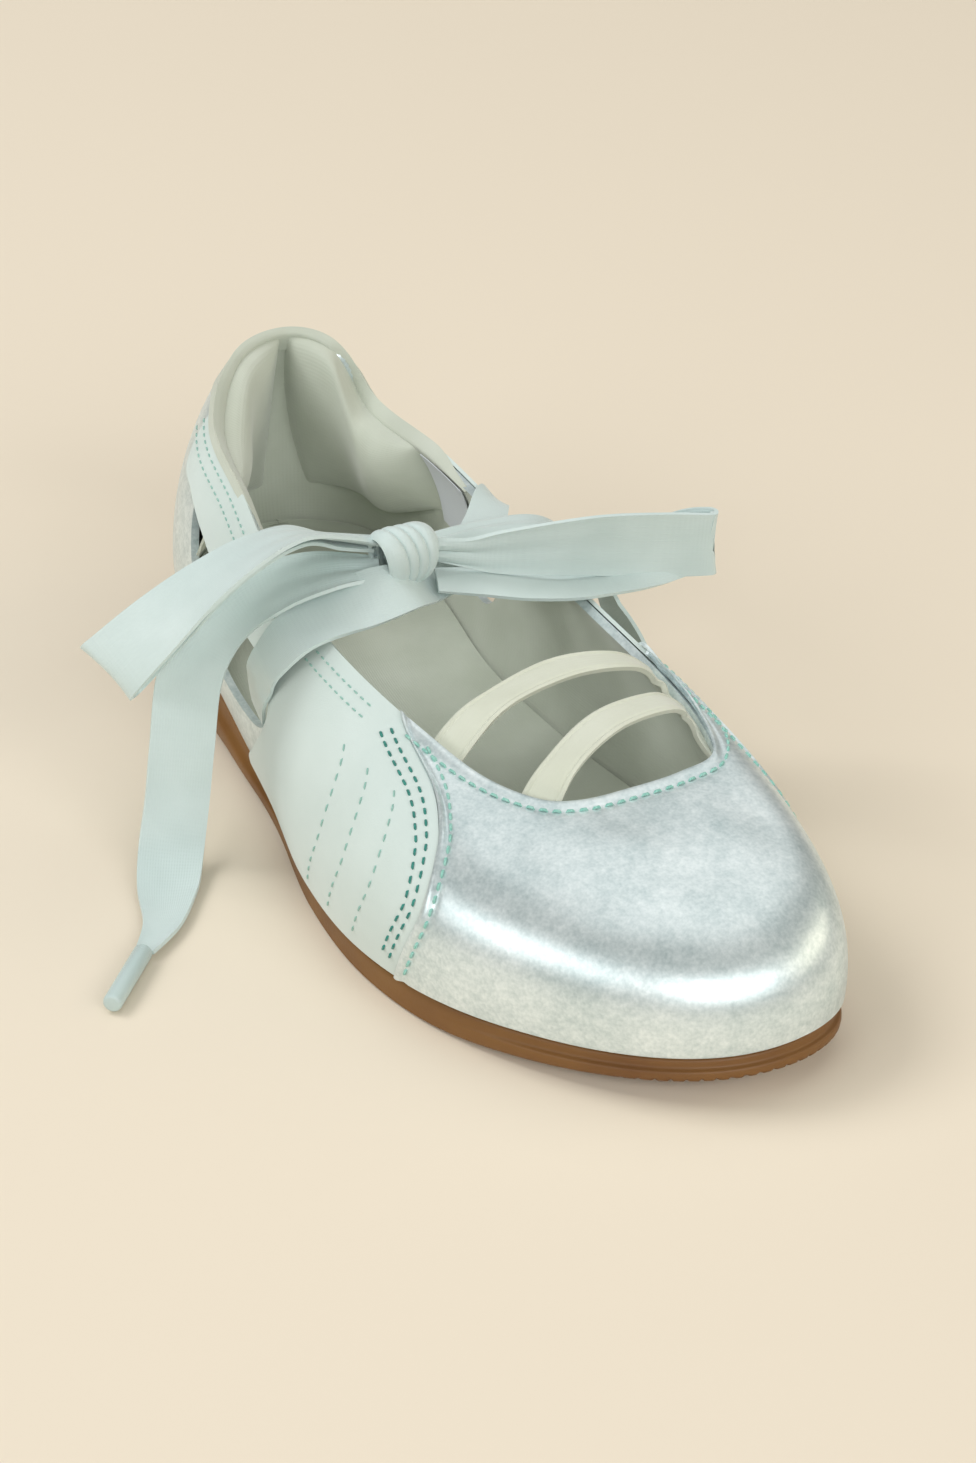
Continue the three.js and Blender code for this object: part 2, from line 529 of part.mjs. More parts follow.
const END_OUTER = [
  { x: 114.3, y: -9.8, z: 57.6, ax: 0.97, ay: 0.1, az: -0.1, wide: 9 },
  { x: 111.4, y: -20, z: 57, ax: 0.97, ay: 0.1, az: -0.05, wide: 13 },
  { x: 108, y: -29.2, z: 54.3, ax: 0.93, ay: 0.2, az: -0.15, wide: 12.5 },
  { x: 106, y: -38.2, z: 49.8, ax: 0.85, ay: 0.45, az: -0.3, wide: 13 },
  { x: 106.6, y: -45.8, z: 44.2, ax: 0.7, ay: 0.65, az: -0.3, wide: 13.5 },
  { x: 110, y: -51.8, z: 36.6, ax: 0.45, ay: 0.88, az: -0.2, wide: 14 },
  { x: 115, y: -55.6, z: 23.7, ax: 0.25, ay: 0.97, az: -0.1, wide: 14 },
  { x: 118.8, y: -58.4, z: 13, ax: 0.15, ay: 1, az: -0.1, wide: 14 },
  { x: 124.5, y: -62, z: 4.8, ax: 0.1, ay: 1, az: 0, wide: 14 },
  { x: 134, y: -66, z: 1.9, ax: 0, ay: 1, az: 0.03, wide: 13 },
  { x: 146, y: -71, z: 1.7, ax: 0.25, ay: 0.97, az: 0, wide: 8.5 },
  { x: 155.5, y: -78, z: 2, ax: 0.55, ay: 0.8, az: 0, wide: 4.4 },
];
const END_INNER = [
  { x: 108, y: 1.8, z: 56, ax: 0.9, ay: 0.1, az: -0.1, wide: 8 },
  { x: 104, y: 19, z: 55.2, ax: 1, ay: 0.05, az: 0, wide: 10 },
  { x: 106, y: 33, z: 53.8, ax: 1, ay: -0.1, az: 0, wide: 13 },
  { x: 111.5, y: 41, z: 46.2, ax: 0.95, ay: -0.2, az: 0.25, wide: 15 },
  { x: 116.5, y: 43.6, z: 37.6, ax: 0.9, ay: -0.1, az: 0.4, wide: 16 },
  { x: 123, y: 46, z: 30, ax: 0.9, ay: 0, az: 0.45, wide: 16 },
  { x: 126.5, y: 48.5, z: 19.5, ax: 1, ay: 0, az: 0.1, wide: 16 },
  { x: 122, y: 50.5, z: 8.5, ax: 0.9, ay: 0.1, az: -0.3, wide: 15 },
  { x: 111, y: 51, z: 2.6, ax: 0.3, ay: 1, az: 0, wide: 13 },
  { x: 96, y: 50, z: 2.2, ax: 0.1, ay: 1, az: 0, wide: 10 },
  { x: 78, y: 47, z: 2.2, ax: 0, ay: 1, az: 0, wide: 4.6 },
];
add(ribbon, "ribbon_end_outer", tape(END_OUTER, RIBBON_THICK, 40), RIBBON);
add(ribbon, "ribbon_end_inner", tape(END_INNER, RIBBON_THICK, 40), RIBBON);

// Tips: short film tubes on the ribbon's ends
const TIP = { long: 20, radius: 2.1 };
function tip(name, table) {
  const [a, b] = table.slice(-2).map((p) => new THREE.Vector3(p.x, p.y, p.z));
  const along = b.clone().sub(a).setZ(0).normalize();
  const tube = new THREE.CapsuleGeometry(TIP.radius, TIP.long - 2 * TIP.radius, 3, 10);
  tube.applyQuaternion(new THREE.Quaternion().setFromUnitVectors(new THREE.Vector3(0, 1, 0), along));
  const middle = b.clone().addScaledVector(along, TIP.long / 2 + GAP).setZ(TIP.radius + 0.05);
  add(ribbon, name, tube.translate(middle.x, middle.y, middle.z), FILM);
}
tip("ribbon_tip_outer", END_OUTER);
tip("ribbon_tip_inner", END_INNER);

// The part's frame: middle of the shoe's own box, without the free ribbon, on the floor
const box = new THREE.Box3().setFromObject(shoe, true);
const centre = box.getCenter(new THREE.Vector3());
const part = new THREE.Group();
part.add(shoe, ribbon);
part.position.set(-centre.x, -centre.y, -box.min.z);
export default part;
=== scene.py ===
# %% [markdown]
# A right ballet sneaker, dressed over its CAD frame. The shoe is pale mint: a satin toe, matte side
# quarters, a padded collar, two elastic straps and a ribbon tied in a bow, on a thin gum sole. The lesson
# works as a shoemaker does: first the last, which is the form of the foot, then the pieces that are cut
# and pulled over it.

# %% Load the frame
import math

import bpy
import numpy as np
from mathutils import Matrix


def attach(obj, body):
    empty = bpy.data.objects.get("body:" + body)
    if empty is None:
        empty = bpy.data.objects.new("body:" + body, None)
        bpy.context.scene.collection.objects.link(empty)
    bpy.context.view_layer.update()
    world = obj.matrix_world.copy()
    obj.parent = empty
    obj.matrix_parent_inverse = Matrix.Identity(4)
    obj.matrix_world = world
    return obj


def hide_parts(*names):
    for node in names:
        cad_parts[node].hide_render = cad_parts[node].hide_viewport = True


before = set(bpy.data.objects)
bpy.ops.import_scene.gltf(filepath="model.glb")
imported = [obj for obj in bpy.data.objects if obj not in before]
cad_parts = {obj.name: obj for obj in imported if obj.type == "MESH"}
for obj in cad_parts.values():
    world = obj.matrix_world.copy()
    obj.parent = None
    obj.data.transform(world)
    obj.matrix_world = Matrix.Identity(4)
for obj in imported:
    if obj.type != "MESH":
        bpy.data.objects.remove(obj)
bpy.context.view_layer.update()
print("frame:", len(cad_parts), "nodes")

# %% [markdown]
# All tables are in the CAD part's own millimetres, measured from the back of the heel. The frame stands
# on the middle of the shoe's box, so one shift takes a point of a table to its place in Blender's metres.

# %% Units and small helpers
MM = 0.001
SHOE_MIDDLE = np.array([124.577, 2.805, 0.0])


def to_scene(points):
    return (np.asarray(points, float) - SHOE_MIDDLE) * MM


def mix(a, b, share):
    return a + (b - a) * share


def ease(x, low, high):
    share = np.clip((np.asarray(x, float) - low) / (high - low), 0, 1)
    return share * share * (3 - 2 * share)


def unit(vectors):
    return vectors / np.maximum(np.linalg.norm(vectors, axis=-1, keepdims=True), 1e-12)


def between_rows(table, place, closed=False):
    """Rows of a table at fractional row numbers, on a Catmull-Rom curve."""
    table = np.asarray(table, float)
    place = np.asarray(place, float)
    count = len(table)
    row = np.floor(place).astype(int)
    if not closed:
        row = np.clip(row, 0, count - 2)
    share = (place - row)[..., None]
    rows = [row + k for k in (-1, 0, 1, 2)]
    a, b, c, d = (table[k % count if closed else np.clip(k, 0, count - 1)] for k in rows)
    return b + 0.5 * share * (c - a + share * (2 * a - 5 * b + 4 * c - d + share * (3 * (b - c) + d - a)))


# %% [markdown]
# The camera stands in front of the shoe, a little to its outer side, and looks down at about thirty
# degrees through a long lens, as the photograph was taken. Its distance and focal length were fitted to
# the sole's outline.

# %% Camera
PICTURE_HEIGHT = 1463
FOCAL_PIXELS = 3602
CAMERA_TURN = math.radians(22.4)
CAMERA_DROP = math.radians(29.9)
CAMERA_AWAY = 779
CAMERA_AIM = np.array([128.0, 9.4, 20.0])
SENSOR_HEIGHT = 36

towards_camera = np.array(
    [
        math.cos(CAMERA_DROP) * math.cos(CAMERA_TURN),
        -math.cos(CAMERA_DROP) * math.sin(CAMERA_TURN),
        math.sin(CAMERA_DROP),
    ]
)
bpy.ops.object.select_all(action="DESELECT")
bpy.ops.object.camera_add(location=to_scene(CAMERA_AIM + CAMERA_AWAY * towards_camera))
camera = bpy.context.object
camera.name = "photo_camera"
camera.rotation_euler = (math.pi / 2 - CAMERA_DROP, 0, math.pi / 2 - CAMERA_TURN)
camera.data.sensor_fit = "VERTICAL"
camera.data.sensor_height = SENSOR_HEIGHT
camera.data.lens = SENSOR_HEIGHT * FOCAL_PIXELS / PICTURE_HEIGHT
camera.data.clip_start = 0.01
bpy.context.scene.camera = camera
print("camera lens: %.1f mm" % camera.data.lens)

# %% [markdown]
# The last is a table with one row for each section round the shoe. foot is the upper's bottom edge, top
# is the topline, and cap says how far the wall folds over as a toe box. Every cover is drawn on this one
# surface, so pieces that lie on each other share its curves. The part's source uses the same table.

# %% The last
#       foot x, y, z        top x, y, z      cap
LAST = np.array(
    [
        (5, 4, 14, 8, 6.5, 66.5, 0),  # heel
        (12, -17, 14, 14.5, -8, 65, 0),  # heel turn, outer side
        (34, -29, 14, 34, -19, 57, 0),  # heel side
        (60, -33, 13, 60, -21.5, 52, 0),  # counter
        (90, -35, 10.5, 88, -24.5, 48.5, 0),  # waist
        (120, -36.5, 7.5, 115, -25.5, 48, 0.05),  # neck of the quarter
        (150, -40, 6.5, 140, -24, 47, 0.15),  # quarter
        (178, -39, 6.5, 160, -19.5, 44, 0.4),  # ball
        (203, -31.5, 7, 177, -13, 40, 0.75),  # toe side
        (224, -17.5, 8, 188, -5, 38.3, 0.95),  # toe turn
        (238.5, -2, 9, 191.5, 3, 38, 1),  # toe front
        (245, 14, 9.5, 191.5, 14, 38.3, 1),  # toe tip
        (243, 30, 9.5, 190.5, 25.5, 39, 1),  # toe front, inner side
        (233, 40.5, 9, 187, 34.5, 40, 0.9),  # toe turn
        (211, 45, 7.5, 172, 37, 42, 0.6),  # ball
        (180, 45, 6.5, 152, 36, 44, 0.3),  # quarter
        (150, 39.5, 7, 130, 33.5, 46, 0.15),  # front of the arch
        (120, 32, 9, 108, 31, 48, 0.05),  # arch
        (90, 28, 11, 85, 29, 50, 0),  # waist
        (60, 29, 13, 56, 26.5, 51.8, 0),  # counter
        (34, 29, 14, 27, 22, 52.6, 0),  # heel side
        (14, 22, 14, 16.5, 16.5, 64.8, 0),  # heel turn
    ]
)
ROUND = len(LAST)
# An upright wall's and a toe box's shape between bottom edge and topline
LOW_OUT, LOW_RISE = (4.5, 2.2), (0.3, 0.62)
HIGH_OUT, HIGH_IN, HIGH_RISE = (4.2, 0.0), (0.3, 0.17), (0.74, 0.9)


def foot_at(s):
    return between_rows(LAST, s, closed=True)[..., 0:3]


def top_at(s):
    return between_rows(LAST, s, closed=True)[..., 3:6]


def outward_at(s):
    along = foot_at(np.asarray(s) + 0.05) - foot_at(np.asarray(s) - 0.05)
    return unit(np.stack([along[..., 1], -along[..., 0], 0 * along[..., 0]], -1))


def last_face(s, t):
    row = between_rows(LAST, s, closed=True)
    foot, top, cap = row[..., 0:3], row[..., 3:6], row[..., 6:7]
    out = outward_at(s)
    rise = top[..., 2:3] - foot[..., 2:3]
    low = foot + out * mix(*LOW_OUT, cap)
    low[..., 2:3] = foot[..., 2:3] + rise * mix(*LOW_RISE, cap)
    high = mix(foot, top, mix(*HIGH_IN, cap)) + out * mix(*HIGH_OUT, cap)
    high[..., 2:3] = foot[..., 2:3] + rise * mix(*HIGH_RISE, cap)
    t = np.asarray(t, float)[..., None]
    return (1 - t) ** 3 * foot + 3 * (1 - t) ** 2 * t * low + 3 * (1 - t) * t * t * high + t**3 * top


def last_normal(s, t):
    step = 0.01
    round_it = last_face(s + step, t) - last_face(s - step, t)
    up = last_face(s, np.minimum(t + step, 1)) - last_face(s, np.maximum(t - step, 0))
    return unit(np.cross(round_it, up))


def skin(s, t, lift):
    """Points at a height over the last: s counts its rows, t runs from the sole up to the topline."""
    s, t = np.broadcast_arrays(np.asarray(s, float), np.asarray(t, float))
    return last_face(s, t) + last_normal(s, t) * np.asarray(lift, float)[..., None]


def slide(s, t, step):
    """Where a point of the last at (s, t) comes to after a step in millimetres along the surface."""
    e = 0.01
    by_s = (last_face(s + e, t) - last_face(s - e, t)) / (2 * e)
    by_t = (last_face(s, t + e) - last_face(s, t - e)) / (2 * e)
    ss, st, tt = (by_s**2).sum(-1), (by_s * by_t).sum(-1), (by_t**2).sum(-1)
    a, b = (by_s * step).sum(-1), (by_t * step).sum(-1)
    det = ss * tt - st * st
    return s + (tt * a - st * b) / det, t + (ss * b - st * a) / det


print("last: %d sections, %.0f mm long" % (ROUND, np.ptp(LAST[:, 0])))

# %% [markdown]
# Shader maths is easier to read as arithmetic. A small class wraps one socket, so that 1 - mask adds the
# Math node it needs, and a finish is a material with one method that makes any other node.

# %% Shader helpers
class Signal:
    """One output socket of a shader node, with arithmetic."""

    def __init__(self, finish, socket):
        self.finish, self.socket = finish, socket

    def math(self, operation, first, second=0.0):
        return self.finish.node("ShaderNodeMath", {"operation": operation}, {0: first, 1: second})

    def __add__(self, other):
        return self.math("ADD", self, other)

    def __sub__(self, other):
        return self.math("SUBTRACT", self, other)

    def __mul__(self, other):
        return self.math("MULTIPLY", self, other)

    def __rsub__(self, other):
        return self.math("SUBTRACT", other, self)

    __radd__, __rmul__ = __add__, __mul__

    def above(self, edge, soft):
        """0 below the edge and 1 above it, with a soft step."""
        ramp = (self - (edge - soft)) * (0.5 / soft)
        return self.finish.node("ShaderNodeClamp", {}, {"Value": ramp})


class Finish:
    """A material with a Principled shader, and one method that adds nodes to it."""

    def __init__(self, name, **constants):
        self.material = bpy.data.materials.new(name)
        self.material.use_nodes = True
        self.tree = self.material.node_tree
        self.shader = self.tree.nodes["Principled BSDF"]
        for socket, value in constants.items():
            self.shader.inputs[socket.replace("_", " ")].default_value = value

    def node(self, kind, settings, inputs, output=0):
        made = self.tree.nodes.new(kind)
        for key, value in settings.items():
            if key == "stops":
                ramp = made.color_ramp
                while len(ramp.elements) < len(value):
                    ramp.elements.new(0.5)
                for element, (place, colour) in zip(ramp.elements, value):
                    element.position, element.color = place, colour
            else:
                setattr(made, key, value)
        for key, value in inputs.items():
            if isinstance(value, Signal):
                self.tree.links.new(value.socket, made.inputs[key])
            else:
                made.inputs[key].default_value = value
        return Signal(self, made.outputs[output])

    def feed(self, socket, signal):
        self.tree.links.new(signal.socket, self.shader.inputs[socket])

    def bump(self, height, strength, distance):
        inputs = {"Height": height, "Strength": strength, "Distance": distance}
        self.feed("Normal", self.node("ShaderNodeBump", {}, inputs))

    def blend(self, factor, low, high):
        colours = {"data_type": "RGBA"}
        return self.node("ShaderNodeMix", colours, {0: factor, 6: low, 7: high}, output=2)

    def places(self, scale=(1, 1, 1), kind="Object"):
        made = self.tree.nodes.new("ShaderNodeTexCoord")
        vector = Signal(self, made.outputs[kind])
        return self.node("ShaderNodeMapping", {}, {"Vector": vector, "Scale": scale})

    def noise(self, vector, scale, detail=2.0):
        return self.node("ShaderNodeTexNoise", {}, {"Vector": vector, "Scale": scale, "Detail": detail})

    def ribs(self, vector, scale, along):
        settings = {"wave_type": "BANDS", "bands_direction": along}
        return self.node("ShaderNodeTexWave", settings, {"Vector": vector, "Scale": scale})


def paint(code):
    """A colour such as d2e0e1, as it looks on a screen, in the shader's own linear numbers."""
    parts = [int(code[k : k + 2], 16) / 255 for k in (0, 2, 4)]
    return tuple(p / 12.92 if p <= 0.04045 else ((p + 0.055) / 1.055) ** 2.4 for p in parts) + (1.0,)


# %% [markdown]
# The satin has a bright soft gloss, clouded by small creases, with a very fine cross thread. It is partly
# metallic and anisotropic: that tints the highlight with the cloth's colour and stretches it across the
# thread. Roughness never falls so low that a lamp shows as a sharp spot. Nubuck and woven cloth are
# matte, with a sheen for the nap.

# %% Satin, nubuck and ribbon finishes
def satin_finish(name, light, deep, gloss):
    f = Finish(name, Metallic=0.52, Anisotropic=0.45, Sheen_Weight=0.1, Sheen_Roughness=0.4)
    cloth = f.places(kind="UV")
    cloudy = f.noise(f.places(), 70.0, 4.0)
    crush = f.noise(f.places((1, 1, 1.6)), 380.0, 2.0)
    grain = f.noise(f.places(), 1300.0, 1.0)
    tone = cloudy * 0.4 + crush * 0.3 + grain * 0.3
    f.feed("Base Color", f.blend(tone.above(0.49, 0.18), deep, light))
    f.feed("Roughness", grain * 0.06 + crush * 0.06 + gloss)
    warp = f.ribs(cloth, 700.0, "X")
    weft = f.ribs(cloth, 900.0, "Y")
    f.bump(warp * 0.2 + weft * 0.2 + crush * 0.4 + grain * 0.2, 0.1, 0.0003)
    return f.material


def nubuck_finish(name, light, deep):
    f = Finish(name, Sheen_Weight=0.35, Sheen_Roughness=0.6)
    grain = f.noise(f.places(), 2600.0, 3.0)
    patch = f.noise(f.places(), 55.0, 3.0)
    f.feed("Base Color", f.blend(patch.above(0.5, 0.3), deep, light))
    f.feed("Roughness", grain * 0.12 + 0.72)
    f.bump(grain, 0.14, 0.0003)
    return f.material


def woven_finish(name, light, deep, rough, rib, sheen=0.3):
    f = Finish(name, Sheen_Weight=sheen, Sheen_Roughness=0.5)
    cloth = f.places(kind="UV")
    weft = f.ribs(cloth, rib, "Y")
    warp = f.ribs(cloth, rib * 0.6, "X")
    cloudy = f.noise(f.places(), 70.0, 2.0)
    f.feed("Base Color", f.blend(cloudy.above(0.5, 0.35), deep, light))
    f.feed("Roughness", weft * 0.1 + rough)
    f.bump(weft * 0.6 + warp * 0.4, 0.16, 0.0003)
    return f.material


SATIN = satin_finish("satin", paint("edf7f8"), paint("b7c9cb"), 0.27)
NUBUCK = nubuck_finish("nubuck", paint("cfddd9"), paint("c4d3ce"))
RIBBON = woven_finish("ribbon_weave", paint("cfdedc"), paint("c0d1ce"), 0.42, 520.0)
ELASTIC = woven_finish("elastic_weave", paint("d6dacb"), paint("c9cdba"), 0.7, 320.0)
LINING = woven_finish("lining_knit", paint("c8cec1"), paint("b7beae"), 0.85, 420.0, 0.4)
print("finishes:", [m.name for m in (SATIN, NUBUCK, RIBBON, ELASTIC, LINING)])

# %% [markdown]
# Gum rubber lets a little light in, so it gets a weak subsurface glow. Thread is a soft twist of two near
# tones, in three strengths: dark beside the seams, pale on the satin and softest on the quarters.

# %% Gum, thread, film and label finishes
def gum_finish():
    glow = {"Subsurface_Weight": 0.08, "Subsurface_Radius": (0.004, 0.002, 0.001)}
    f = Finish("gum_rubber", Specular_IOR_Level=0.45, **glow)
    cloudy = f.noise(f.places(), 45.0, 3.0)
    speck = f.noise(f.places(), 1500.0, 2.0)
    f.feed("Base Color", f.blend(cloudy.above(0.5, 0.3), paint("6d4722"), paint("87602f")))
    f.feed("Roughness", speck * 0.15 + 0.42)
    f.bump(speck, 0.06, 0.0003)
    return f.material


def thread_finish(name, light, deep):
    f = Finish(name, Sheen_Weight=0.3)
    twist = f.noise(f.places(), 1800.0, 1.0)
    f.feed("Base Color", f.blend(twist.above(0.5, 0.2), deep, light))
    f.feed("Roughness", twist * 0.2 + 0.45)
    return f.material


GUM = gum_finish()
TEAL_THREAD = thread_finish("teal_thread", paint("2f8f82"), paint("1f6f66"))
SOFT_THREAD = thread_finish("soft_thread", paint("8fbcb0"), paint("8fbcb0"))
PALE_THREAD = thread_finish("pale_thread", paint("9fd0c4"), paint("7cbcae"))
LABEL = woven_finish("label_cloth", paint("d7dbe0"), paint("cdd2d8"), 0.6, 600.0, 0.1)
FILM = woven_finish("tip_film", paint("c3d4d2"), paint("b4c8c6"), 0.22, 400.0, 0.0)
print("small finishes:", [m.name for m in (GUM, TEAL_THREAD, SOFT_THREAD, PALE_THREAD, LABEL, FILM)])

# %% [markdown]
# Most pieces of a shoe are sheets pulled over the last. Each starts as a flat grid, as a maker starts
# from a cut pattern. Its points are then laid on the last, and a Solidify modifier gives the cloth its
# thickness. The grid brings a UV map along, which is kept in metres so that weave and thread have their
# true scale.

# %% Sheets on the last
SEAM_WELD = 2e-6  # metres


def clean_start():
    if bpy.context.object and bpy.context.object.mode != "OBJECT":
        bpy.ops.object.mode_set(mode="OBJECT")
    bpy.ops.object.select_all(action="DESELECT")


def mesh_points(piece):
    flat = np.empty(3 * len(piece.data.vertices))
    piece.data.vertices.foreach_get("co", flat)
    return flat.reshape(-1, 3)


def set_points(piece, points):
    piece.data.vertices.foreach_set("co", np.ascontiguousarray(points, float).ravel())
    piece.data.update()


def make_current(piece):
    clean_start()
    piece.select_set(True)
    bpy.context.view_layer.objects.active = piece


def apply_modifier(piece, kind, **settings):
    make_current(piece)
    modifier = piece.modifiers.new(kind.title(), kind)
    for key, value in settings.items():
        setattr(modifier, key, value)
    bpy.ops.object.modifier_apply(modifier=modifier.name)


def edit_all(piece, *operations):
    make_current(piece)
    bpy.ops.object.mode_set(mode="EDIT")
    bpy.ops.mesh.select_all(action="SELECT")
    for operation, settings in operations:
        operation(**settings)
    bpy.ops.object.mode_set(mode="OBJECT")


def lay_sheet(name, steps, place, cloth_size, closed=False):
    """A grid whose points go where place(u, v) says, in millimetres. cloth_size is its UV size in metres."""
    clean_start()
    bpy.ops.mesh.primitive_grid_add(x_subdivisions=steps[0], y_subdivisions=steps[1], size=1, calc_uvs=True)
    piece = bpy.context.object
    piece.name = piece.data.name = name
    flat = mesh_points(piece)
    set_points(piece, to_scene(place(flat[:, 0] + 0.5, flat[:, 1] + 0.5)))
    layer = piece.data.uv_layers.active.data
    corners = np.empty(2 * len(layer))
    layer.foreach_get("uv", corners)
    layer.foreach_set("uv", (corners.reshape(-1, 2) * np.asarray(cloth_size)).ravel())
    if closed:
        edit_all(piece, (bpy.ops.mesh.remove_doubles, {"threshold": SEAM_WELD}))
    return piece


def thicken(piece, wall, inner_slot=0):
    """Cloth thickness under the face. An even offset would throw long spikes where a sheet folds sharply."""
    settings = {"thickness": wall * MM, "offset": -1.0, "use_even_offset": False}
    apply_modifier(piece, "SOLIDIFY", material_offset=inner_slot, material_offset_rim=0, **settings)


def dress(piece, node, slot, *materials, angle=40):
    """Materials, smooth shading and the frame's book-keeping for a finished piece."""
    if materials:
        piece.data.materials.clear()
        for material in materials:
            piece.data.materials.append(material)
    make_current(piece)
    bpy.ops.object.shade_smooth_by_angle(angle=math.radians(angle))
    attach(piece, "root")
    if node:
        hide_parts(node)
    print("%s: %d faces" % (piece.name, len(piece.data.polygons)))


# %% [markdown]
# The ribbon is a flat tape that follows a table of points: the middle of the tape, a direction across it,
# and its width. A tape that bends and twists freely has no primitive near it, so a grid is laid along the
# table and then thickened. The bow's pieces are free cords of the part, and the true length of each is
# printed.

# %% Tapes
def tape_frames(table, along):
    table = np.asarray(table, float)
    place = np.asarray(along) * (len(table) - 1)
    row = between_rows(table, place)
    ahead = between_rows(table, np.minimum(place + 0.02, len(table) - 1))
    behind = between_rows(table, np.maximum(place - 0.02, 0))
    run = unit(ahead[..., 0:3] - behind[..., 0:3])
    across = row[..., 3:6]
    across = unit(across - run * (across * run).sum(-1, keepdims=True))
    return row[..., 0:3], across, np.cross(across, run), row[..., 6]


def tape_length(table):
    middle = tape_frames(table, np.linspace(0, 1, 400))[0]
    return float(np.linalg.norm(np.diff(middle, axis=0), axis=1).sum())


def lay_tape(name, table, thick, steps, relief=None):
    """A tape along a table. relief(u, v) lifts its face in millimetres, and its v runs from -1 to 1."""

    def place(u, v):
        middle, across, face, wide = tape_frames(table, u)
        lift = 0 * u if relief is None else relief(u, 2 * v - 1)
        return middle + across * ((v - 0.5) * wide)[:, None] + face * (lift + thick / 2)[:, None]

    wide = np.asarray(table)[:, 6].max()
    piece = lay_sheet(name, steps, place, (tape_length(table) * MM, wide * MM))
    edit_all(piece, (bpy.ops.mesh.flip_normals, {}))
    thicken(piece, thick)
    return piece


def declare_cord(piece, table):
    middle = to_scene(tape_frames(table, np.linspace(0, 1, 120))[0])
    long = tape_length(table) * MM
    print("%s: %.0f mm of ribbon" % (piece.name, long / MM))


# %% [markdown]
# Two loops and two ends leave the knot. The outer loop droops over the quarter with its broad face to the
# front, and the inner loop's front strand stands on its edge. Each end falls to the floor and lies there
# with its film tip. The tables were fitted to the photograph.

# %% Bow tables
#       x, y, z, across x, y, z, width
LOOP_OUTER = [
    (111.5, -9.8, 62.6, 0.93, 0.05, 0.3, 8),
    (111.5, -18.5, 65.2, 0.93, 0.05, 0.34, 11.5),
    (112.2, -28, 67.6, 0.93, 0.08, 0.26, 13.5),
    (113.2, -38, 66, 0.95, 0.1, 0.1, 14.5),
    (113.8, -48.6, 60.9, 0.94, 0.14, -0.06, 15),
    (113.3, -59, 53.2, 0.88, 0.28, -0.25, 15.5),
    (111.8, -68.6, 44.6, 0.74, 0.42, -0.46, 15.5),
    (109.7, -69.5, 41.7, 0.62, 0.5, -0.6, 15.5),
    (105.8, -65.4, 40.2, 0.62, 0.5, -0.6, 13.5),
    (106.9, -56.4, 48, 0.8, 0.34, -0.42, 12.5),
    (107.4, -46, 56.3, 0.94, 0.14, -0.06, 13.5),
    (107.1, -35.5, 62.2, 0.95, 0.1, 0.05, 14),
    (106.6, -25.7, 64.1, 0.93, 0.08, 0.1, 12.5),
    (107.6, -17.4, 61.4, 0.93, 0.05, 0.1, 9.5),
    (109.2, -9.8, 59.8, 0.92, 0.05, 0.1, 7.5),
]
LOOP_INNER = [
    (116, 1.8, 59.6, 0.25, 0, 0.95, 6.5),
    (117.5, 9, 58.2, 0.2, 0, 0.97, 8),
    (119, 17.5, 57.6, 0.15, 0, 0.98, 11.5),
    (122.3, 36.5, 57, 0.1, 0, 0.99, 15),
    (125.6, 52, 55.8, 0.05, 0, 1, 15.6),
    (128, 61, 55.3, 0.02, 0, 1, 15),
    (127.4, 62.8, 55.3, 0, 0, 1, 15),
    (125.4, 62.2, 55.3, 0, 0, 1, 15),
    (123.2, 57.5, 54.4, -0.2, 0, 0.98, 14.5),
    (121.8, 50, 51, -0.75, 0, 0.66, 13),
    (121.6, 42, 48.6, -0.97, 0, 0.2, 12.5),
    (121.8, 31, 48.4, -0.99, 0, 0.05, 12.5),
    (121.2, 20.5, 50, -0.98, 0, 0.1, 11.5),
    (119.3, 10.5, 52, -0.95, 0, 0.2, 9.5),
    (117.5, 1.8, 53.2, -0.92, 0, 0.25, 7.5),
]
END_OUTER = [
    (114.3, -9.8, 57.6, 0.97, 0.1, -0.1, 9),
    (111.4, -20, 57, 0.97, 0.1, -0.05, 14.5),
    (108, -29.2, 54.3, 0.93, 0.2, -0.15, 14.5),
    (106, -38.2, 49.8, 0.85, 0.45, -0.3, 13),
    (106.6, -45.8, 44.2, 0.7, 0.65, -0.3, 13.5),
    (110, -51.8, 36.6, 0.45, 0.88, -0.2, 14),
    (115, -55.6, 23.7, 0.25, 0.97, -0.1, 14),
    (118.8, -58.4, 13, 0.15, 1, -0.1, 14),
    (124.5, -62, 4.8, 0.1, 1, 0, 14),
    (134, -66, 1.9, 0, 1, 0.03, 13),
    (146, -71, 1.7, 0.25, 0.97, 0, 8.5),
    (155.5, -78, 2, 0.55, 0.8, 0, 4.4),
]
END_INNER = [
    (108, 1.8, 56, 0.9, 0.1, -0.1, 8),
    (104, 19, 55.2, 1, 0.05, 0, 10),
    (106, 33, 53.8, 1, -0.1, 0, 13),
    (111.5, 41, 46.2, 0.95, -0.2, 0.25, 15),
    (116.5, 43.6, 37.6, 0.9, -0.1, 0.4, 16),
    (123, 46, 30, 0.9, 0, 0.45, 16),
    (126.5, 48.5, 19.5, 1, 0, 0.1, 16),
    (122, 50.5, 8.5, 0.9, 0.1, -0.3, 15),
    (111, 51, 2.6, 0.3, 1, 0, 13),
    (96, 50, 2.2, 0.1, 1, 0, 10),
    (78, 47, 2.2, 0, 1, 0, 4.6),
]
print("bow tables:", [len(table) for table in (LOOP_OUTER, LOOP_INNER, END_OUTER, END_INNER)], "rows")

RIBBON_THICK = 0.8
CUP, GATHER, GATHER_FOLDS, GATHER_REACH = 0.5, 0.9, 7.5, 0.08


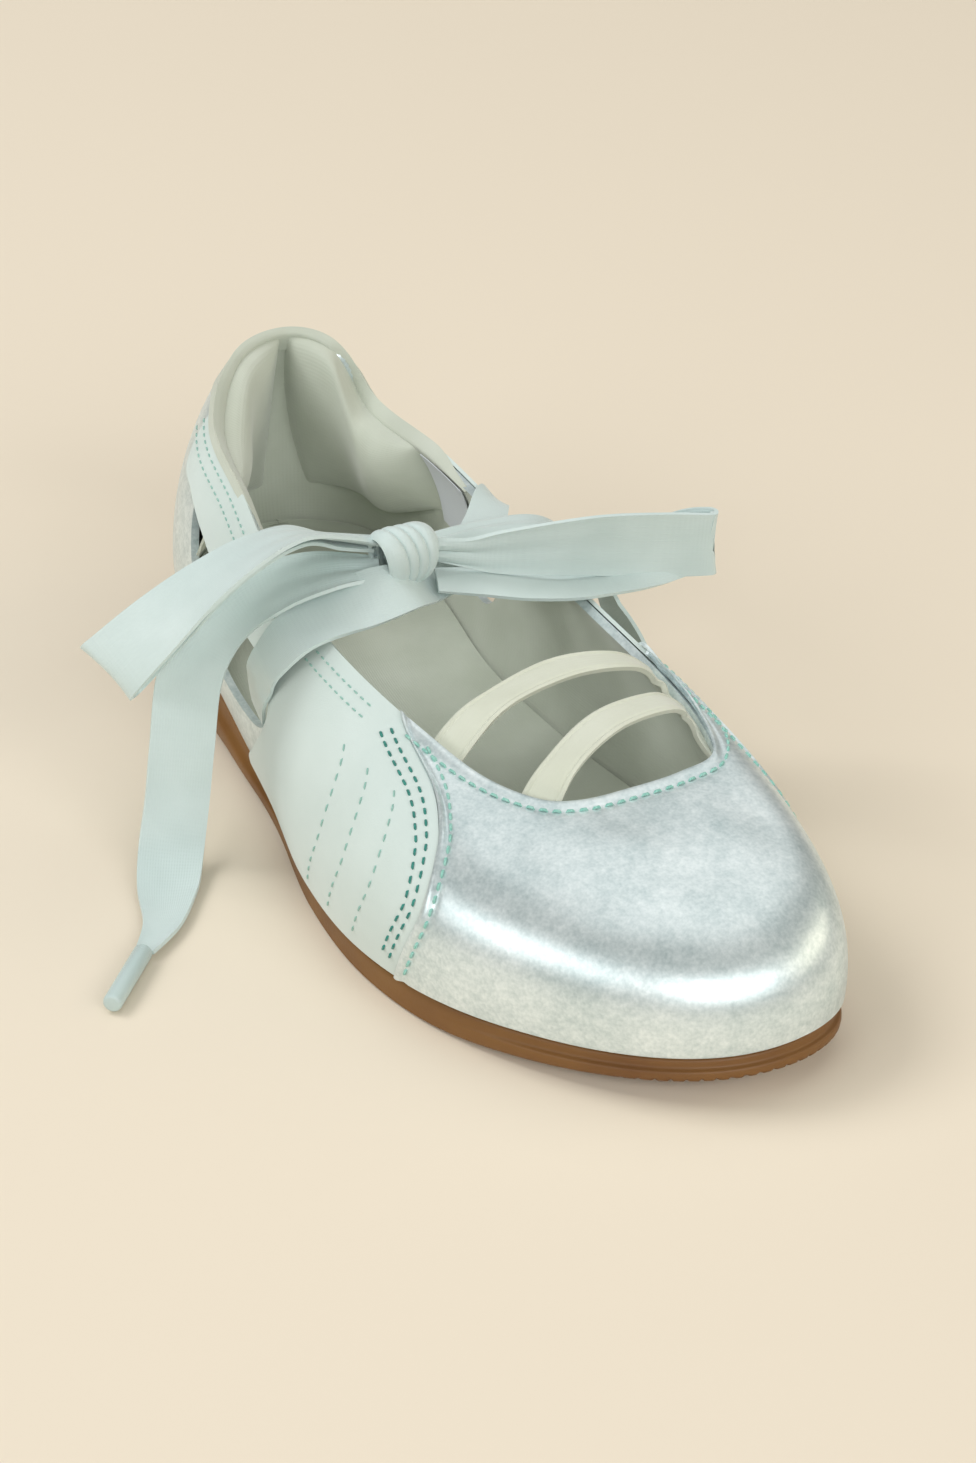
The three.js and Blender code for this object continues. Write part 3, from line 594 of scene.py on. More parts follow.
def ribbon_relief(u, v):
    """A soft cup across the tape, and gathers that run out from the knot."""
    return CUP * (1 - v * v) + np.exp(-u / GATHER_REACH) * GATHER * np.cos(v * GATHER_FOLDS)


# %% [markdown]
# The ends are made with their film tips, then the loops. A tip is short and straight, so a cylinder with
# bevelled edges is enough for it. Each tape takes the place of its solid, and its length is printed.

# %% Loops and ends
TIP_LONG, TIP_RADIUS, TIP_ROUND = 20, 2.0, 0.7
TIP_GAP, FLOOR_GAP = 0.3, 0.15


def make_tip(name, table):
    """A film tube over the ribbon's end, lying on the floor: a cylinder with rounded ends."""
    start, end = (np.array(row[:3], float) for row in table[-2:])
    run = unit((end - start) * (1, 1, 0))
    middle = end + run * (TIP_LONG / 2 + TIP_GAP)
    middle[2] = TIP_RADIUS + FLOOR_GAP
    clean_start()
    turn = math.atan2(run[1], run[0])
    size = {"vertices": 24, "radius": TIP_RADIUS * MM, "depth": TIP_LONG * MM}
    lying = (math.pi / 2, 0, turn + math.pi / 2)
    bpy.ops.mesh.primitive_cylinder_add(location=to_scene(middle), rotation=lying, **size)
    tip = bpy.context.object
    tip.name = tip.data.name = name
    bpy.ops.object.transform_apply(location=True, rotation=True, scale=True)
    apply_modifier(tip, "BEVEL", width=TIP_ROUND * MM, segments=3, limit_method="ANGLE")
    return tip


for name, table, tip_name in [
    ("ribbon_end_outer", END_OUTER, "ribbon_tip_outer"),
    ("ribbon_end_inner", END_INNER, "ribbon_tip_inner"),
]:
    tip = make_tip(tip_name + "_film", table)
    dress(tip, tip_name, "film", FILM)
    piece = lay_tape(name + "_tape", table, RIBBON_THICK, (160, 16), ribbon_relief)
    dress(piece, name, "ribbon", RIBBON)
    declare_cord(piece, table)
for name, table in [("ribbon_loop_outer", LOOP_OUTER), ("ribbon_loop_inner", LOOP_INNER)]:
    piece = lay_tape(name + "_tape", table, RIBBON_THICK, (180, 16), ribbon_relief)
    dress(piece, name, "ribbon", RIBBON)
    declare_cord(piece, table)

# %% [markdown]
# The knot is the ribbon drawn once round itself. Cloth pulled tight shows as a short wrap with folds that
# run round it, so a sheet is closed to a ring round the knot's middle. It stays open at its sides, where
# loops and ends come out, and its folds drift across as they go round.

# %% Knot
KNOT_MIDDLE = np.array([114.5, -5.0, 59.0])
KNOT_AXIS = unit(np.array([-0.25, 1.0, -0.05]))
KNOT_HALF = (5.6, 6.4)
KNOT_WIDE, KNOT_WIDER_ABOVE = 4.9, 0.28
KNOT_SIDES, KNOT_SLACK, FOLD_DRIFT = 0.74, 0.07, 0.2
KNOT_FOLDS = [(-0.5, 0.1, 1.5), (-0.05, 0.08, 2.0), (0.4, 0.09, 1.6)]  # place across, width, depth


def knot_place(u, v):
    turn = 2 * math.pi * u
    side = unit(np.cross(KNOT_AXIS, (0, 0, 1)))
    over = np.cross(side, KNOT_AXIS)
    across = 2 * v - 1
    bulge = np.clip(1 - across**6, 0, 1) ** 0.5
    reach = mix(KNOT_SIDES, 1, bulge) + KNOT_SLACK * np.sin(2 * turn + across)
    drift = FOLD_DRIFT * np.cos(turn + 0.5)
    fold = 0 * u
    for place, wide, deep in KNOT_FOLDS:
        fold = fold - deep * np.exp(-(((across - place - drift) / wide) ** 2)) * bulge
    wide = KNOT_WIDE * (1 + KNOT_WIDER_ABOVE * np.sin(turn + 0.2))
    ring = side * ((KNOT_HALF[0] * reach + fold) * np.cos(turn))[:, None]
    ring = ring + over * ((KNOT_HALF[1] * reach + fold) * np.sin(turn))[:, None]
    return KNOT_MIDDLE + ring + KNOT_AXIS * (wide * across)[:, None]


knot = lay_sheet("ribbon_knot_wrap", (120, 64), knot_place, (0.038, 0.016), closed=True)
thicken(knot, RIBBON_THICK)
dress(knot, "ribbon_knot", "ribbon", RIBBON, angle=60)

# %% [markdown]
# The band is the part of the ribbon that goes round the foot: out of one window, over the topline, under
# the knot and down to the other window.

# %% Ribbon band
def on_wall(s, t, lift, wide):
    along = last_face(s + 0.1, t) - last_face(s - 0.1, t)
    return (*skin(s, t, lift), *(along if s < ROUND / 2 else -along), wide)


BAND_LIFT = 2.0
BAND = [
    on_wall(4.78, 0.45, 0.2, 7),
    (115.3, -38.4, 34.5, 1, 0.1, 0, 9),
    (118.3, -36.8, 42.2, 1, 0.15, 0, 11.5),
    (120.4, -31, 49, 1, 0.25, 0.05, 14.8),
    (121, -20, 53, 1, 0.35, -0.2, 15),
    (122, -7.8, 55.6, 0.75, 0.3, -0.55, 11.5),
    (115.5, 1.5, 51.6, 0.8, 0.3, -0.4, 9),
    (107, 13, 51.6, 1, 0.25, 0, 12),
    (93, 23, 51.6, 1, 0.15, 0, 9.5),
    on_wall(18.2, 0.98, BAND_LIFT - 0.2, 8.5),
    on_wall(18.37, 0.75, BAND_LIFT + 1, 10.5),
    on_wall(18.44, 0.6, BAND_LIFT + 0.5, 8.5),
    on_wall(18.51, 0.45, 0.2, 7),
]
band = lay_tape("ribbon_band_tape", BAND, RIBBON_THICK, (220, 14))
dress(band, "ribbon_band", "ribbon", RIBBON)

# %% [markdown]
# The upper is the hollow shell under everything: satin outside, knit lining inside, with a long window
# cut through each side behind the quarter. Solidify gives the inside its own material slot. The windows
# are cut with a prism over their outline, because an edge cut square through a curved wall is what a die
# leaves.

# %% Upper
UPPER_WALL = 1.8
FAR_OUT, WINDOW_IN = 70, 8  # how far the windows' tools reach sideways
#       x, z in the side view
WINDOW_OUTER = [
    (45, 44.5), (56, 41.5), (75, 38.5), (95, 36.5), (111, 35.5), (118, 31.5),
    (117, 26), (110, 22.5), (95, 21.5), (80, 22.5), (65, 27), (52, 36),
]
WINDOW_INNER = [
    (45, 42), (56, 39), (65, 37), (73, 36), (79, 35), (84.5, 31.5),
    (83.5, 26.5), (79, 23.4), (73, 23), (67, 25), (60, 29.5), (52, 35.5),
]


def outline_prism(name, outline, low, high, points=96):
    """A prism along Y over a smooth closed outline in the side view."""
    around = between_rows(outline, np.arange(points) / points * len(outline), closed=True)
    clean_start()
    bpy.ops.mesh.primitive_circle_add(vertices=points, radius=1, fill_type="NGON")
    prism = bpy.context.object
    prism.name = name
    set_points(prism, to_scene(np.stack([around[:, 0], np.full(points, low), around[:, 1]], 1)))
    extrude = {"TRANSFORM_OT_translate": {"value": (0, (high - low) * MM, 0)}}
    outward = {"inside": False}
    edit_all(
        prism,
        (bpy.ops.mesh.extrude_region_move, extrude),
        (bpy.ops.mesh.select_all, {"action": "SELECT"}),
        (bpy.ops.mesh.normals_make_consistent, outward),
    )
    return prism


def cut(piece, tool, operation):
    apply_modifier(piece, "BOOLEAN", object=tool, operation=operation, solver="EXACT")
    bpy.data.objects.remove(tool, do_unlink=True)


upper = lay_sheet("upper_shell", (264, 30), lambda u, v: skin(u * ROUND, v, 0), (0.62, 0.05), closed=True)
upper.data.materials.append(SATIN)
upper.data.materials.append(LINING)
thicken(upper, UPPER_WALL, inner_slot=1)
cut(upper, outline_prism("window_tool_outer", WINDOW_OUTER, -FAR_OUT, -WINDOW_IN), "DIFFERENCE")
cut(upper, outline_prism("window_tool_inner", WINDOW_INNER, WINDOW_IN, FAR_OUT), "DIFFERENCE")
dress(upper, "upper", "satin")

# %% [markdown]
# The vamp is the satin toe piece, which meets the quarters along a curved seam with a folded edge. Satin
# pulled over a toe never lies dead flat: a few soft dents are placed where the cloth is drawn in to the
# throat.

# %% Vamp
GAP, VAMP_THICK, QUARTER_THICK, COVER_LOW = 0.3, 1.1, 0.8, 0.03
# Rows of the last where the seam runs, at nine heights from the sole to the topline
SEAM = np.array([[7.52], [7.62], [7.73], [7.83], [7.87], [7.87], [7.8], [7.52], [6.75]])
VAMP_TOP = GAP + VAMP_THICK
SECTION_LONG = 24  # from one row of the last to the next, beside the seam
#       away from the edge, width, height
SEAM_ROLL = [(0.9, 0.9, 0.45), (2.6, 0.8, -0.2)]
THROAT_ROLL = [(0.8, 1.0, 0.4), (3.2, 0.9, -0.25)]
#       section, height, round, up, depth
VAMP_DENTS = [
    (8.6, 0.8, 0.5, 0.1, -0.5),
    (9.7, 0.62, 0.7, 0.1, -0.35),
    (11.2, 0.72, 0.8, 0.08, -0.45),
    (12.6, 0.8, 0.5, 0.1, -0.5),
    (10.4, 0.86, 0.5, 0.06, 0.3),
]


def seam_at(t):
    return between_rows(SEAM, np.asarray(t, float) * (len(SEAM) - 1))[..., 0]


def vamp_lift(s, t):
    """Height of the satin over the last: a rolled edge at the seam and at the throat, and the dents."""
    to_seam = SECTION_LONG * np.minimum(s - seam_at(t), ROUND - seam_at(t) - s)
    to_throat = np.linalg.norm(last_face(s, 0 * t + 1) - last_face(s, t), axis=-1)
    lift = VAMP_TOP
    for away, roll in ((to_seam, SEAM_ROLL), (to_throat, THROAT_ROLL)):
        for middle, wide, high in roll:
            lift = lift + high * np.exp(-(((away - middle) / wide) ** 2))
    for section, height, wide, high, depth in VAMP_DENTS:
        lift = lift + depth * np.exp(-(((s - section) / wide) ** 2) - ((t - height) / high) ** 2)
    return lift


def vamp_place(u, v):
    t = mix(COVER_LOW, 1, v)
    edge = seam_at(t)
    s = mix(edge, ROUND - edge, u)
    return skin(s, t, vamp_lift(s, t))


vamp = lay_sheet("vamp_satin", (300, 110), vamp_place, (0.16, 0.07))
thicken(vamp, VAMP_THICK - 0.1)
dress(vamp, "vamp", "satin", SATIN)

# %% [markdown]
# The quarters are matte covers on both sides. Their front edge follows the vamp's seam, and a prism trims
# the rest to its outline in the side view: the neck behind the seam and the strap that runs back to the
# heel.

# %% Quarters
#       x, z in the side view
QUARTER_OUTER = [
    (31, 70), (31, 50.5), (42, 46.3), (56, 42.4), (75, 39.4), (95, 37.4),
    (111, 36.4), (119, 31.5), (118, 25), (112, 18), (106, 12), (107, 4),
    (150, 2), (225, 2), (225, 60), (150, 75), (60, 78),
]
QUARTER_INNER = [
    (31, 70), (31, 48.5), (42, 43.9), (56, 39.9), (65, 37.9), (73, 36.9),
    (80, 36), (86, 31.5), (85, 25.5), (80.5, 18.5), (76, 12), (77, 4),
    (150, 2), (225, 2), (225, 60), (150, 75), (60, 78),
]


QUARTER_IN, QUARTER_POINTS = 6, 160
QUARTER_BACK, SEAM_GAP = 1.5, 0.012  # in rows of the last


def quarter_sheet(name, outer_side):
    def place(u, v):
        t = mix(COVER_LOW, 1, v)
        reach = u if outer_side else 1 - u
        s = mix(QUARTER_BACK, seam_at(t) - SEAM_GAP, reach)
        return skin(s if outer_side else ROUND - s, t, 0 * s + GAP + QUARTER_THICK)

    piece = lay_sheet(name, (240, 44), place, (0.2, 0.045))
    thicken(piece, QUARTER_THICK)
    if outer_side:
        tool = outline_prism(name + "_tool", QUARTER_OUTER, -FAR_OUT, -QUARTER_IN, QUARTER_POINTS)
    else:
        tool = outline_prism(name + "_tool", QUARTER_INNER, QUARTER_IN, FAR_OUT, QUARTER_POINTS)
    cut(piece, tool, "INTERSECT")
    return piece


dress(quarter_sheet("quarter_outer_cover", True), "quarter_outer", "nubuck", NUBUCK)
dress(quarter_sheet("quarter_inner_cover", False), "quarter_inner", "nubuck", NUBUCK)

# %% [markdown]
# Stitches are far too many for modifiers, so all stitches of one thread are built as one mesh from
# arrays. A stitch is a short six-sided bar that dips into the cloth at both ends. Its rows are lines on
# the last: beside() moves a seam or an edge sideways over the surface, as a presser foot keeps its
# distance.

# %% Stitch maker
def beside(s, t, offset, steps=1):
    for _ in range(steps):
        run = unit(np.gradient(last_face(s, t), axis=0))
        side = np.cross(last_normal(s, t), run)
        s, t = slide(s, t, side * (offset / steps))
    return s, t


def stitch_row(s, t, lift, pitch=2.9, long=1.8):
    """Start, end and normal of each running stitch along a line of the last."""
    line = skin(s, t, lift + 0 * s)
    gone = np.concatenate([[0], np.cumsum(np.linalg.norm(np.diff(line, axis=0), axis=1))])
    at = np.arange(pitch, gone[-1] - pitch / 2, pitch)

    def pick(rows, way):
        return np.stack([np.interp(way, gone, rows[:, k]) for k in range(3)], 1)

    start, end = pick(line, at - long / 2), pick(line, at + long / 2)
    return start, end, unit(pick(last_normal(s, t), at))


def sew(name, rows, radius, thread, slot):
    """One mesh of stitches: four rings of six points each, whose ends are thinner and lie deeper."""
    start, end, up = (np.concatenate([row[k] for row in rows]) for k in range(3))
    share = np.array([0, 0.2, 0.8, 1])[None, :, None, None]
    thick = radius * np.array([0.4, 1, 1, 0.4])[None, :, None, None]
    dip = radius * np.array([-0.9, 0.3, 0.3, -0.9])[None, :, None, None]
    turn = (np.arange(6) * math.pi / 3)[None, None, :, None]
    start, end, up = (a[:, None, None, :] for a in (start, end, up))
    side = np.cross(up, unit(end - start))
    ring = mix(start, end, share) + up * dip + thick * (side * np.cos(turn) + up * np.sin(turn))
    first = np.arange(len(ring))[:, None] * 24
    faces = []
    for k in range(3):
        for j in range(6):
            m = (j + 1) % 6
            faces.append(first + [6 * k + j, 6 * k + m, 6 * k + 6 + m, 6 * k + 6 + j])
    quads = np.concatenate(faces).tolist()
    caps = (first + [5, 4, 3, 2, 1, 0]).tolist() + (first + [18, 19, 20, 21, 22, 23]).tolist()
    mesh = bpy.data.meshes.new(name)
    mesh.from_pydata(to_scene(ring.reshape(-1, 3)).tolist(), [], quads + caps)
    piece = bpy.data.objects.new(name, mesh)
    bpy.context.collection.objects.link(piece)
    dress(piece, None, slot, thread, angle=60)
    print("%s: %d stitches" % (name, len(ring)))


# %% [markdown]
# Two dark rows hold each quarter beside the seam. Soft rows follow its top edge and run over it as plain
# quilting lines, parallel to the seam. Pale rows follow the satin's rolled edges at the seams and round
# the throat. Inside, the dark thread shows on the lining.

# %% Stitch rows
QUARTER_TOP, SATIN_TOP = GAP + QUARTER_THICK + 0.1, VAMP_TOP + 0.05
TOPLINE = 0.999
SEAM_ROWS, EDGE_ROWS, QUILT_BACK = (2.6, 4.8), (3.2, 6.0), (0.6, 1.0, 1.4)
FINE, LONG, INSIDE = (2.6, 1.5), (2.7, 1.9), (2.9, 2.2)  # pitch and length of a stitch
seam_t = np.linspace(0.05, 0.985, 160)
seam_s = seam_at(seam_t)
edge_s = np.linspace(1.75, 6.55, 200)
quilt_t = np.linspace(0.06, 0.8, 120)
throat_s = np.linspace(6.95, ROUND - 6.95, 260)
throat_row = beside(throat_s, 0 * throat_s + TOPLINE, -EDGE_ROWS[0], 2)


def within(line, low=0.04, high=0.985):
    s, t = line
    keep = (t > low) & (t < high)
    return s[keep], t[keep]


dark_rows, soft_rows, satin_rows = [], [], [stitch_row(*throat_row, SATIN_TOP, *LONG)]
for outer_side in (True, False):
    flip = 1 if outer_side else -1
    side_s = seam_s if outer_side else ROUND - seam_s
    # Counted in rows of the last, the inner strap ends a little earlier.
    top_s = edge_s if outer_side else ROUND - edge_s[edge_s > 2.2]
    for offset in SEAM_ROWS:
        row = within(beside(side_s, seam_t, flip * offset, 3))
        dark_rows.append(stitch_row(*row, QUARTER_TOP))
    for back in QUILT_BACK:
        quilt_s = seam_at(quilt_t) - back
        soft_rows.append(stitch_row(quilt_s if outer_side else ROUND - quilt_s, quilt_t, QUARTER_TOP, 3.3))
    for offset in EDGE_ROWS:
        row = within(beside(top_s, 0 * top_s + TOPLINE, -flip * offset, 4))
        soft_rows.append(stitch_row(*row, QUARTER_TOP, *FINE))
    row = within(beside(side_s, seam_t, -flip * 2.3, 2))
    satin_rows.append(stitch_row(*row, SATIN_TOP, *LONG))
    row = within(beside(side_s, seam_t, flip * SEAM_ROWS[0], 3), 0.2)
    start, end, up = stitch_row(*row, -UPPER_WALL, *INSIDE)
    dark_rows.append((start, end, -up))
sew("stitches_dark", dark_rows, 0.3, TEAL_THREAD, "nubuck")
sew("stitches_quarter", soft_rows, 0.19, SOFT_THREAD, "nubuck")
sew("stitches_satin", satin_rows, 0.32, PALE_THREAD, "satin")

# %% [markdown]
# A narrow strip of the lining cloth is folded over the topline round the heel. It is wider on the heel
# tab, and its ends taper off on both sides. A plain woven label is sewn on the lining inside the inner
# wall.

# %% Topline binding and label
BIND_TO, BIND_TAPER, BIND_FLAT, BIND_CROWN, BIND_THICK = 3.6, 0.7, 0.38, 0.7, 0.22
BIND_LOW, BIND_HEEL_LOW = 0.965, 0.9  # bottom edge on the sides and on the heel tab, in shares of the wall


def binding_place(u, v):
    """v runs up the outside over BIND_FLAT, over the topline, and down the inside over BIND_FLAT."""
    s = mix(-BIND_TO, BIND_TO, u)
    heel = 1 - ease(abs(s), 1.0, 1.7)
    ends = ease(BIND_TO - abs(s), 0, BIND_TAPER)
    low = mix(1, mix(BIND_LOW, BIND_HEEL_LOW, heel), ends)
    outside = mix(-1, mix(QUARTER_TOP + 0.1, 0.25, heel), ends)
    inside = -UPPER_WALL - 0.5
    up, down = np.clip(v / BIND_FLAT, 0, 1), np.clip((v - 1 + BIND_FLAT) / BIND_FLAT, 0, 1)
    t = np.where(v < 0.5, mix(low, 1, up), mix(1, low, down))
    point = skin(s, t, mix(outside, inside, ease(v, BIND_FLAT, 1 - BIND_FLAT)))
    point[:, 2] += BIND_CROWN * ends * np.sin(math.pi * np.clip((v - 0.34) / 0.32, 0, 1))
    return point


binding = lay_sheet("topline_binding", (360, 20), binding_place, (0.36, 0.008))
thicken(binding, BIND_THICK)
dress(binding, None, "lining", LINING, angle=60)


LABEL_SPAN, LABEL_RISE, LABEL_LIFT, LABEL_THICK = (19.2, 18.5), (0.5, 0.96), 0.55, 0.25


def label_place(u, v):
    return skin(mix(*LABEL_SPAN, u), mix(*LABEL_RISE, v), 0 * u - UPPER_WALL - LABEL_LIFT)


label = lay_sheet("lining_label", (24, 16), label_place, (0.018, 0.014))
thicken(label, -LABEL_THICK)
dress(label, None, "lining", LABEL)

# %% [markdown]
# The collar pads are foam under knit cloth, sewn down along their rim. Each starts as a sheet on the
# inside of the wall, is pushed inwards into a swell, and is then smoothed everywhere but along its rim.
# The two meet in a deep crease at the heel's middle, and the inner one stands back a little further
# below.

# %% Collar pads
PAD_FROM, PAD_PART, PAD_TO = 0.07, (0.06, 0.32), 2.78
PAD_LOW, PAD_FRONT_LOW, PAD_HIGH, PAD_EDGE, PAD_THICK = 0.2, 0.6, 0.99, 0.6, 15
PAD_SUNK, PAD_SMOOTHING = 0.3, 12
PAD_AIM = np.array([44.0, 3.0])  # the swell leans towards this point in the plan


def pad_piece(name, outer_side):
    def place(u, v):
        reach = 1 - u if outer_side else u
        part = PAD_PART[0 if outer_side else 1]
        s = mix(PAD_FROM + part * (1 - v) ** 2, PAD_TO, reach)
        low = mix(PAD_LOW, PAD_FRONT_LOW, ease(s, 1.4, 3.2))
        long_swell, high_swell = (np.sin(math.pi * np.clip(k, 0, 1)) for k in (reach, v))
        swell = long_swell**0.4 * high_swell**0.5
        point = skin(s if outer_side else ROUND - s, mix(low, PAD_HIGH, v), 0 * s - UPPER_WALL + PAD_SUNK)
        inward = unit(PAD_AIM - point[:, :2])
        point[:, :2] += inward * (PAD_THICK * swell)[:, None]
        return point

    piece = lay_sheet(name, (90, 48), place, (0.09, 0.03))
    rim = [(bpy.ops.mesh.region_to_loop, {}), (bpy.ops.mesh.select_mode, {"type": "VERT"})]
    rest = [(bpy.ops.mesh.select_all, {"action": "INVERT"}), (bpy.ops.object.vertex_group_assign_new, {})]
    edit_all(piece, *rim, *rest)
    inner_points = piece.vertex_groups[0].name
    apply_modifier(piece, "SMOOTH", factor=0.5, iterations=PAD_SMOOTHING, vertex_group=inner_points)
    thicken(piece, PAD_EDGE)
    return piece


for name, outer_side in [("collar_pad_outer", True), ("collar_pad_inner", False)]:
    pad = pad_piece(name + "_cushion", outer_side)
    dress(pad, name, "lining", LINING, angle=60)

# %% [markdown]
# Two elastic straps cross the instep. They are woven tapes a little thicker than the ribbon, with corded
# edges, and are sewn to the inside of the wall below the topline.

# %% Elastic straps
ELASTIC_WIDE, ELASTIC_THICK = 8.5, 1.1
#       height on the wall, lift from its outer face
STRAP_NEAR = [(0.93, -3.0), (0.99, -3.4)]
STRAP_FAR = [(0.94, -2.9), (0.78, -2.9)]


def strap_end(s, t, lift):
    along = top_at(s + 0.1) - top_at(s - 0.1)
    return (*skin(s, t, lift), *(along if s < ROUND / 2 else -along), ELASTIC_WIDE)


def strap_table(near, far, over):
    """A strap from the wall at row near, over points above the instep, down the wall at row far."""
    start = [strap_end(near, *place) for place in STRAP_NEAR]
    middle = [(*point, 1, 0.28, 0, ELASTIC_WIDE) for point in over]
    edge = top_at(far)
    bend = (edge[0], edge[1] - 3.0, edge[2] + 0.7, 1, 0.05, -0.1, ELASTIC_WIDE)
    return start + middle + [bend] + [strap_end(far, *place) for place in STRAP_FAR]


STRAPS = {
    "elastic_rear": strap_table(7.4, 14.72, [(162.5, -5.5, 46.6), (158.5, 12, 50), (158.5, 26.5, 49.2)]),
    "elastic_front": strap_table(8.95, 14.02, [(183.5, 2.5, 43), (177, 15, 46.8), (173.5, 28, 46.6)]),
}


def elastic_relief(u, v):
    """A woven middle, slightly crowned, between two corded edges."""
    cord = 0.22 * np.exp(-(((abs(v) - 0.86) / 0.08) ** 2))
    groove = 0.2 * np.exp(-(((abs(v) - 0.7) / 0.05) ** 2))
    return 0.2 * (1 - v**4) + cord - groove


for name, table in STRAPS.items():
    strap = lay_tape(name + "_tape", table, ELASTIC_THICK, (160, 40), elastic_relief)
    dress(strap, name, "elastic", ELASTIC)

# %% [markdown]
# The gum sole has a flared band below and a recess under the upper, an arch and a toe spring. A sheet
# wrapped round the last's bottom edge gives the wall, and two more give the bed and the tread. The three
# are joined and welded into one closed body. The insole is a thin cushion on the bed.

# %% Outsole and insole
TOE_SPRING, ARCH_RISE, HEEL_ROLL = 5.0, 2.2, 4.0
NOTCH_PITCH, NOTCH_DEEP = 0.17, 0.7  # teeth round the toe, their pitch in rows of the last
GROOVE_PITCH, GROOVE_DEEP, GROOVE_BOW = 6.5, 0.9, 4
# Where each shape starts, is full, fades and ends: x along the shoe, or rows of the last for the teeth
ARCH, TREADS, TEETH = (66, 92, 106, 136), [(26, 32, 66, 72), (138, 144, 214, 220)], (9.4, 10.2, 12.4, 13.2)
HEEL_END, TOE_START = (3, 24), (190, 262)
#       outwards, share of the height
SOLE_SIDE = [(-1.2, 0), (1.2, 0.1), (1.9, 0.28), (1.7, 0.52), (0.2, 0.66), (-0.5, 0.97), (-4, 1)]


def plateau(x, start, full, fade, end):
    return ease(x, start, full) * (1 - ease(x, fade, end))


def sole_base(x):
    heel = HEEL_ROLL * (1 - ease(x, *HEEL_END)) ** 2
    return heel + ARCH_RISE * plateau(x, *ARCH) + TOE_SPRING * ease(x, *TOE_START) ** 1.2


def flare_at(x):
    """Share of the lower band's flare: full at the heel, none at the waist, some at the toe."""
    return 1 - ease(x, 85, 140) + 0.6 * ease(x, 200, 228)


def ladder_points(s, share, out):
    """Points between the outer and inner edge at the same section."""
    a = foot_at(s) + outward_at(s) * np.asarray(out)[..., None]
    b = foot_at(ROUND - s) + outward_at(ROUND - s) * np.asarray(out)[..., None]
    return mix(a, b, share[..., None])


def sole_side(u, v):
    s = u * ROUND
    out, up = between_rows(SOLE_SIDE, v * (len(SOLE_SIDE) - 1)).T
    plain = foot_at(s) + outward_at(s) * out[:, None]
    out = np.where(out > 0, out * flare_at(plain[:, 0]), out)
    notch = ease(np.cos(2 * math.pi * s / NOTCH_PITCH), 0.55, 0.95)
    notch = notch * plateau(s, *TEETH) * (1 - ease(up, 0.12, 0.3))
    point = foot_at(s) + outward_at(s) * (out - NOTCH_DEEP * notch)[:, None]
    base = sole_base(point[:, 0])
    point[:, 2] = base + np.clip(up, 0, 1) * (point[:, 2] - GAP - base)
    return point


def sole_floor(u, v):
    point = ladder_points((1 - u) * ROUND / 2, v, SOLE_SIDE[0][0] + 0 * u)
    x = point[:, 0]
    treads = sum(plateau(x, *span) for span in TREADS)
    rim = ease(np.minimum(v, 1 - v), 0.06, 0.1)
    groove = ease(np.cos(2 * math.pi * (x + GROOVE_BOW * np.sin(math.pi * v)) / GROOVE_PITCH), 0.5, 0.9)
    point[:, 2] = sole_base(x) + GROOVE_DEEP * groove * treads * rim
    return point


def sole_bed(u, v):
    point = ladder_points(u * ROUND / 2, v, SOLE_SIDE[-1][0] + 0 * u)
    point[:, 2] -= GAP
    return point


def join(pieces, name, threshold):
    make_current(pieces[0])
    for piece in pieces:
        piece.select_set(True)
    bpy.ops.object.join()
    pieces[0].name = pieces[0].data.name = name
    edit_all(
        pieces[0],
        (bpy.ops.mesh.remove_doubles, {"threshold": threshold}),
        (bpy.ops.mesh.normals_make_consistent, {"inside": False}),
    )
    return pieces[0]


AROUND, SOLE_WELD = 660, 2e-5
sole_parts = [
    lay_sheet("sole_wall", (AROUND, 36), sole_side, (0.62, 0.02)),
    lay_sheet("sole_floor", (AROUND // 2, 40), sole_floor, (0.25, 0.08)),
    lay_sheet("sole_bed", (AROUND // 2, 24), sole_bed, (0.25, 0.08)),
]
outsole = join(sole_parts, "outsole_gum", SOLE_WELD)
dress(outsole, "outsole", "gum", GUM, angle=50)

INSOLE_THICK, INSOLE_SHEET, INSOLE_IN = 2.5, 1.2, UPPER_WALL + 0.5
INSOLE_DISH, INSOLE_ROUND, INSOLE_STEEP = 0.8, 0.6, 14


def insole_top(u, v):
    point = ladder_points(u * ROUND / 2, v, -INSOLE_IN + 0 * u)
    edge = np.minimum(np.minimum(v, 1 - v) * INSOLE_STEEP, 1)
    point[:, 2] += INSOLE_THICK - INSOLE_DISH * np.sin(math.pi * v) - INSOLE_ROUND * (1 - edge)
    return point


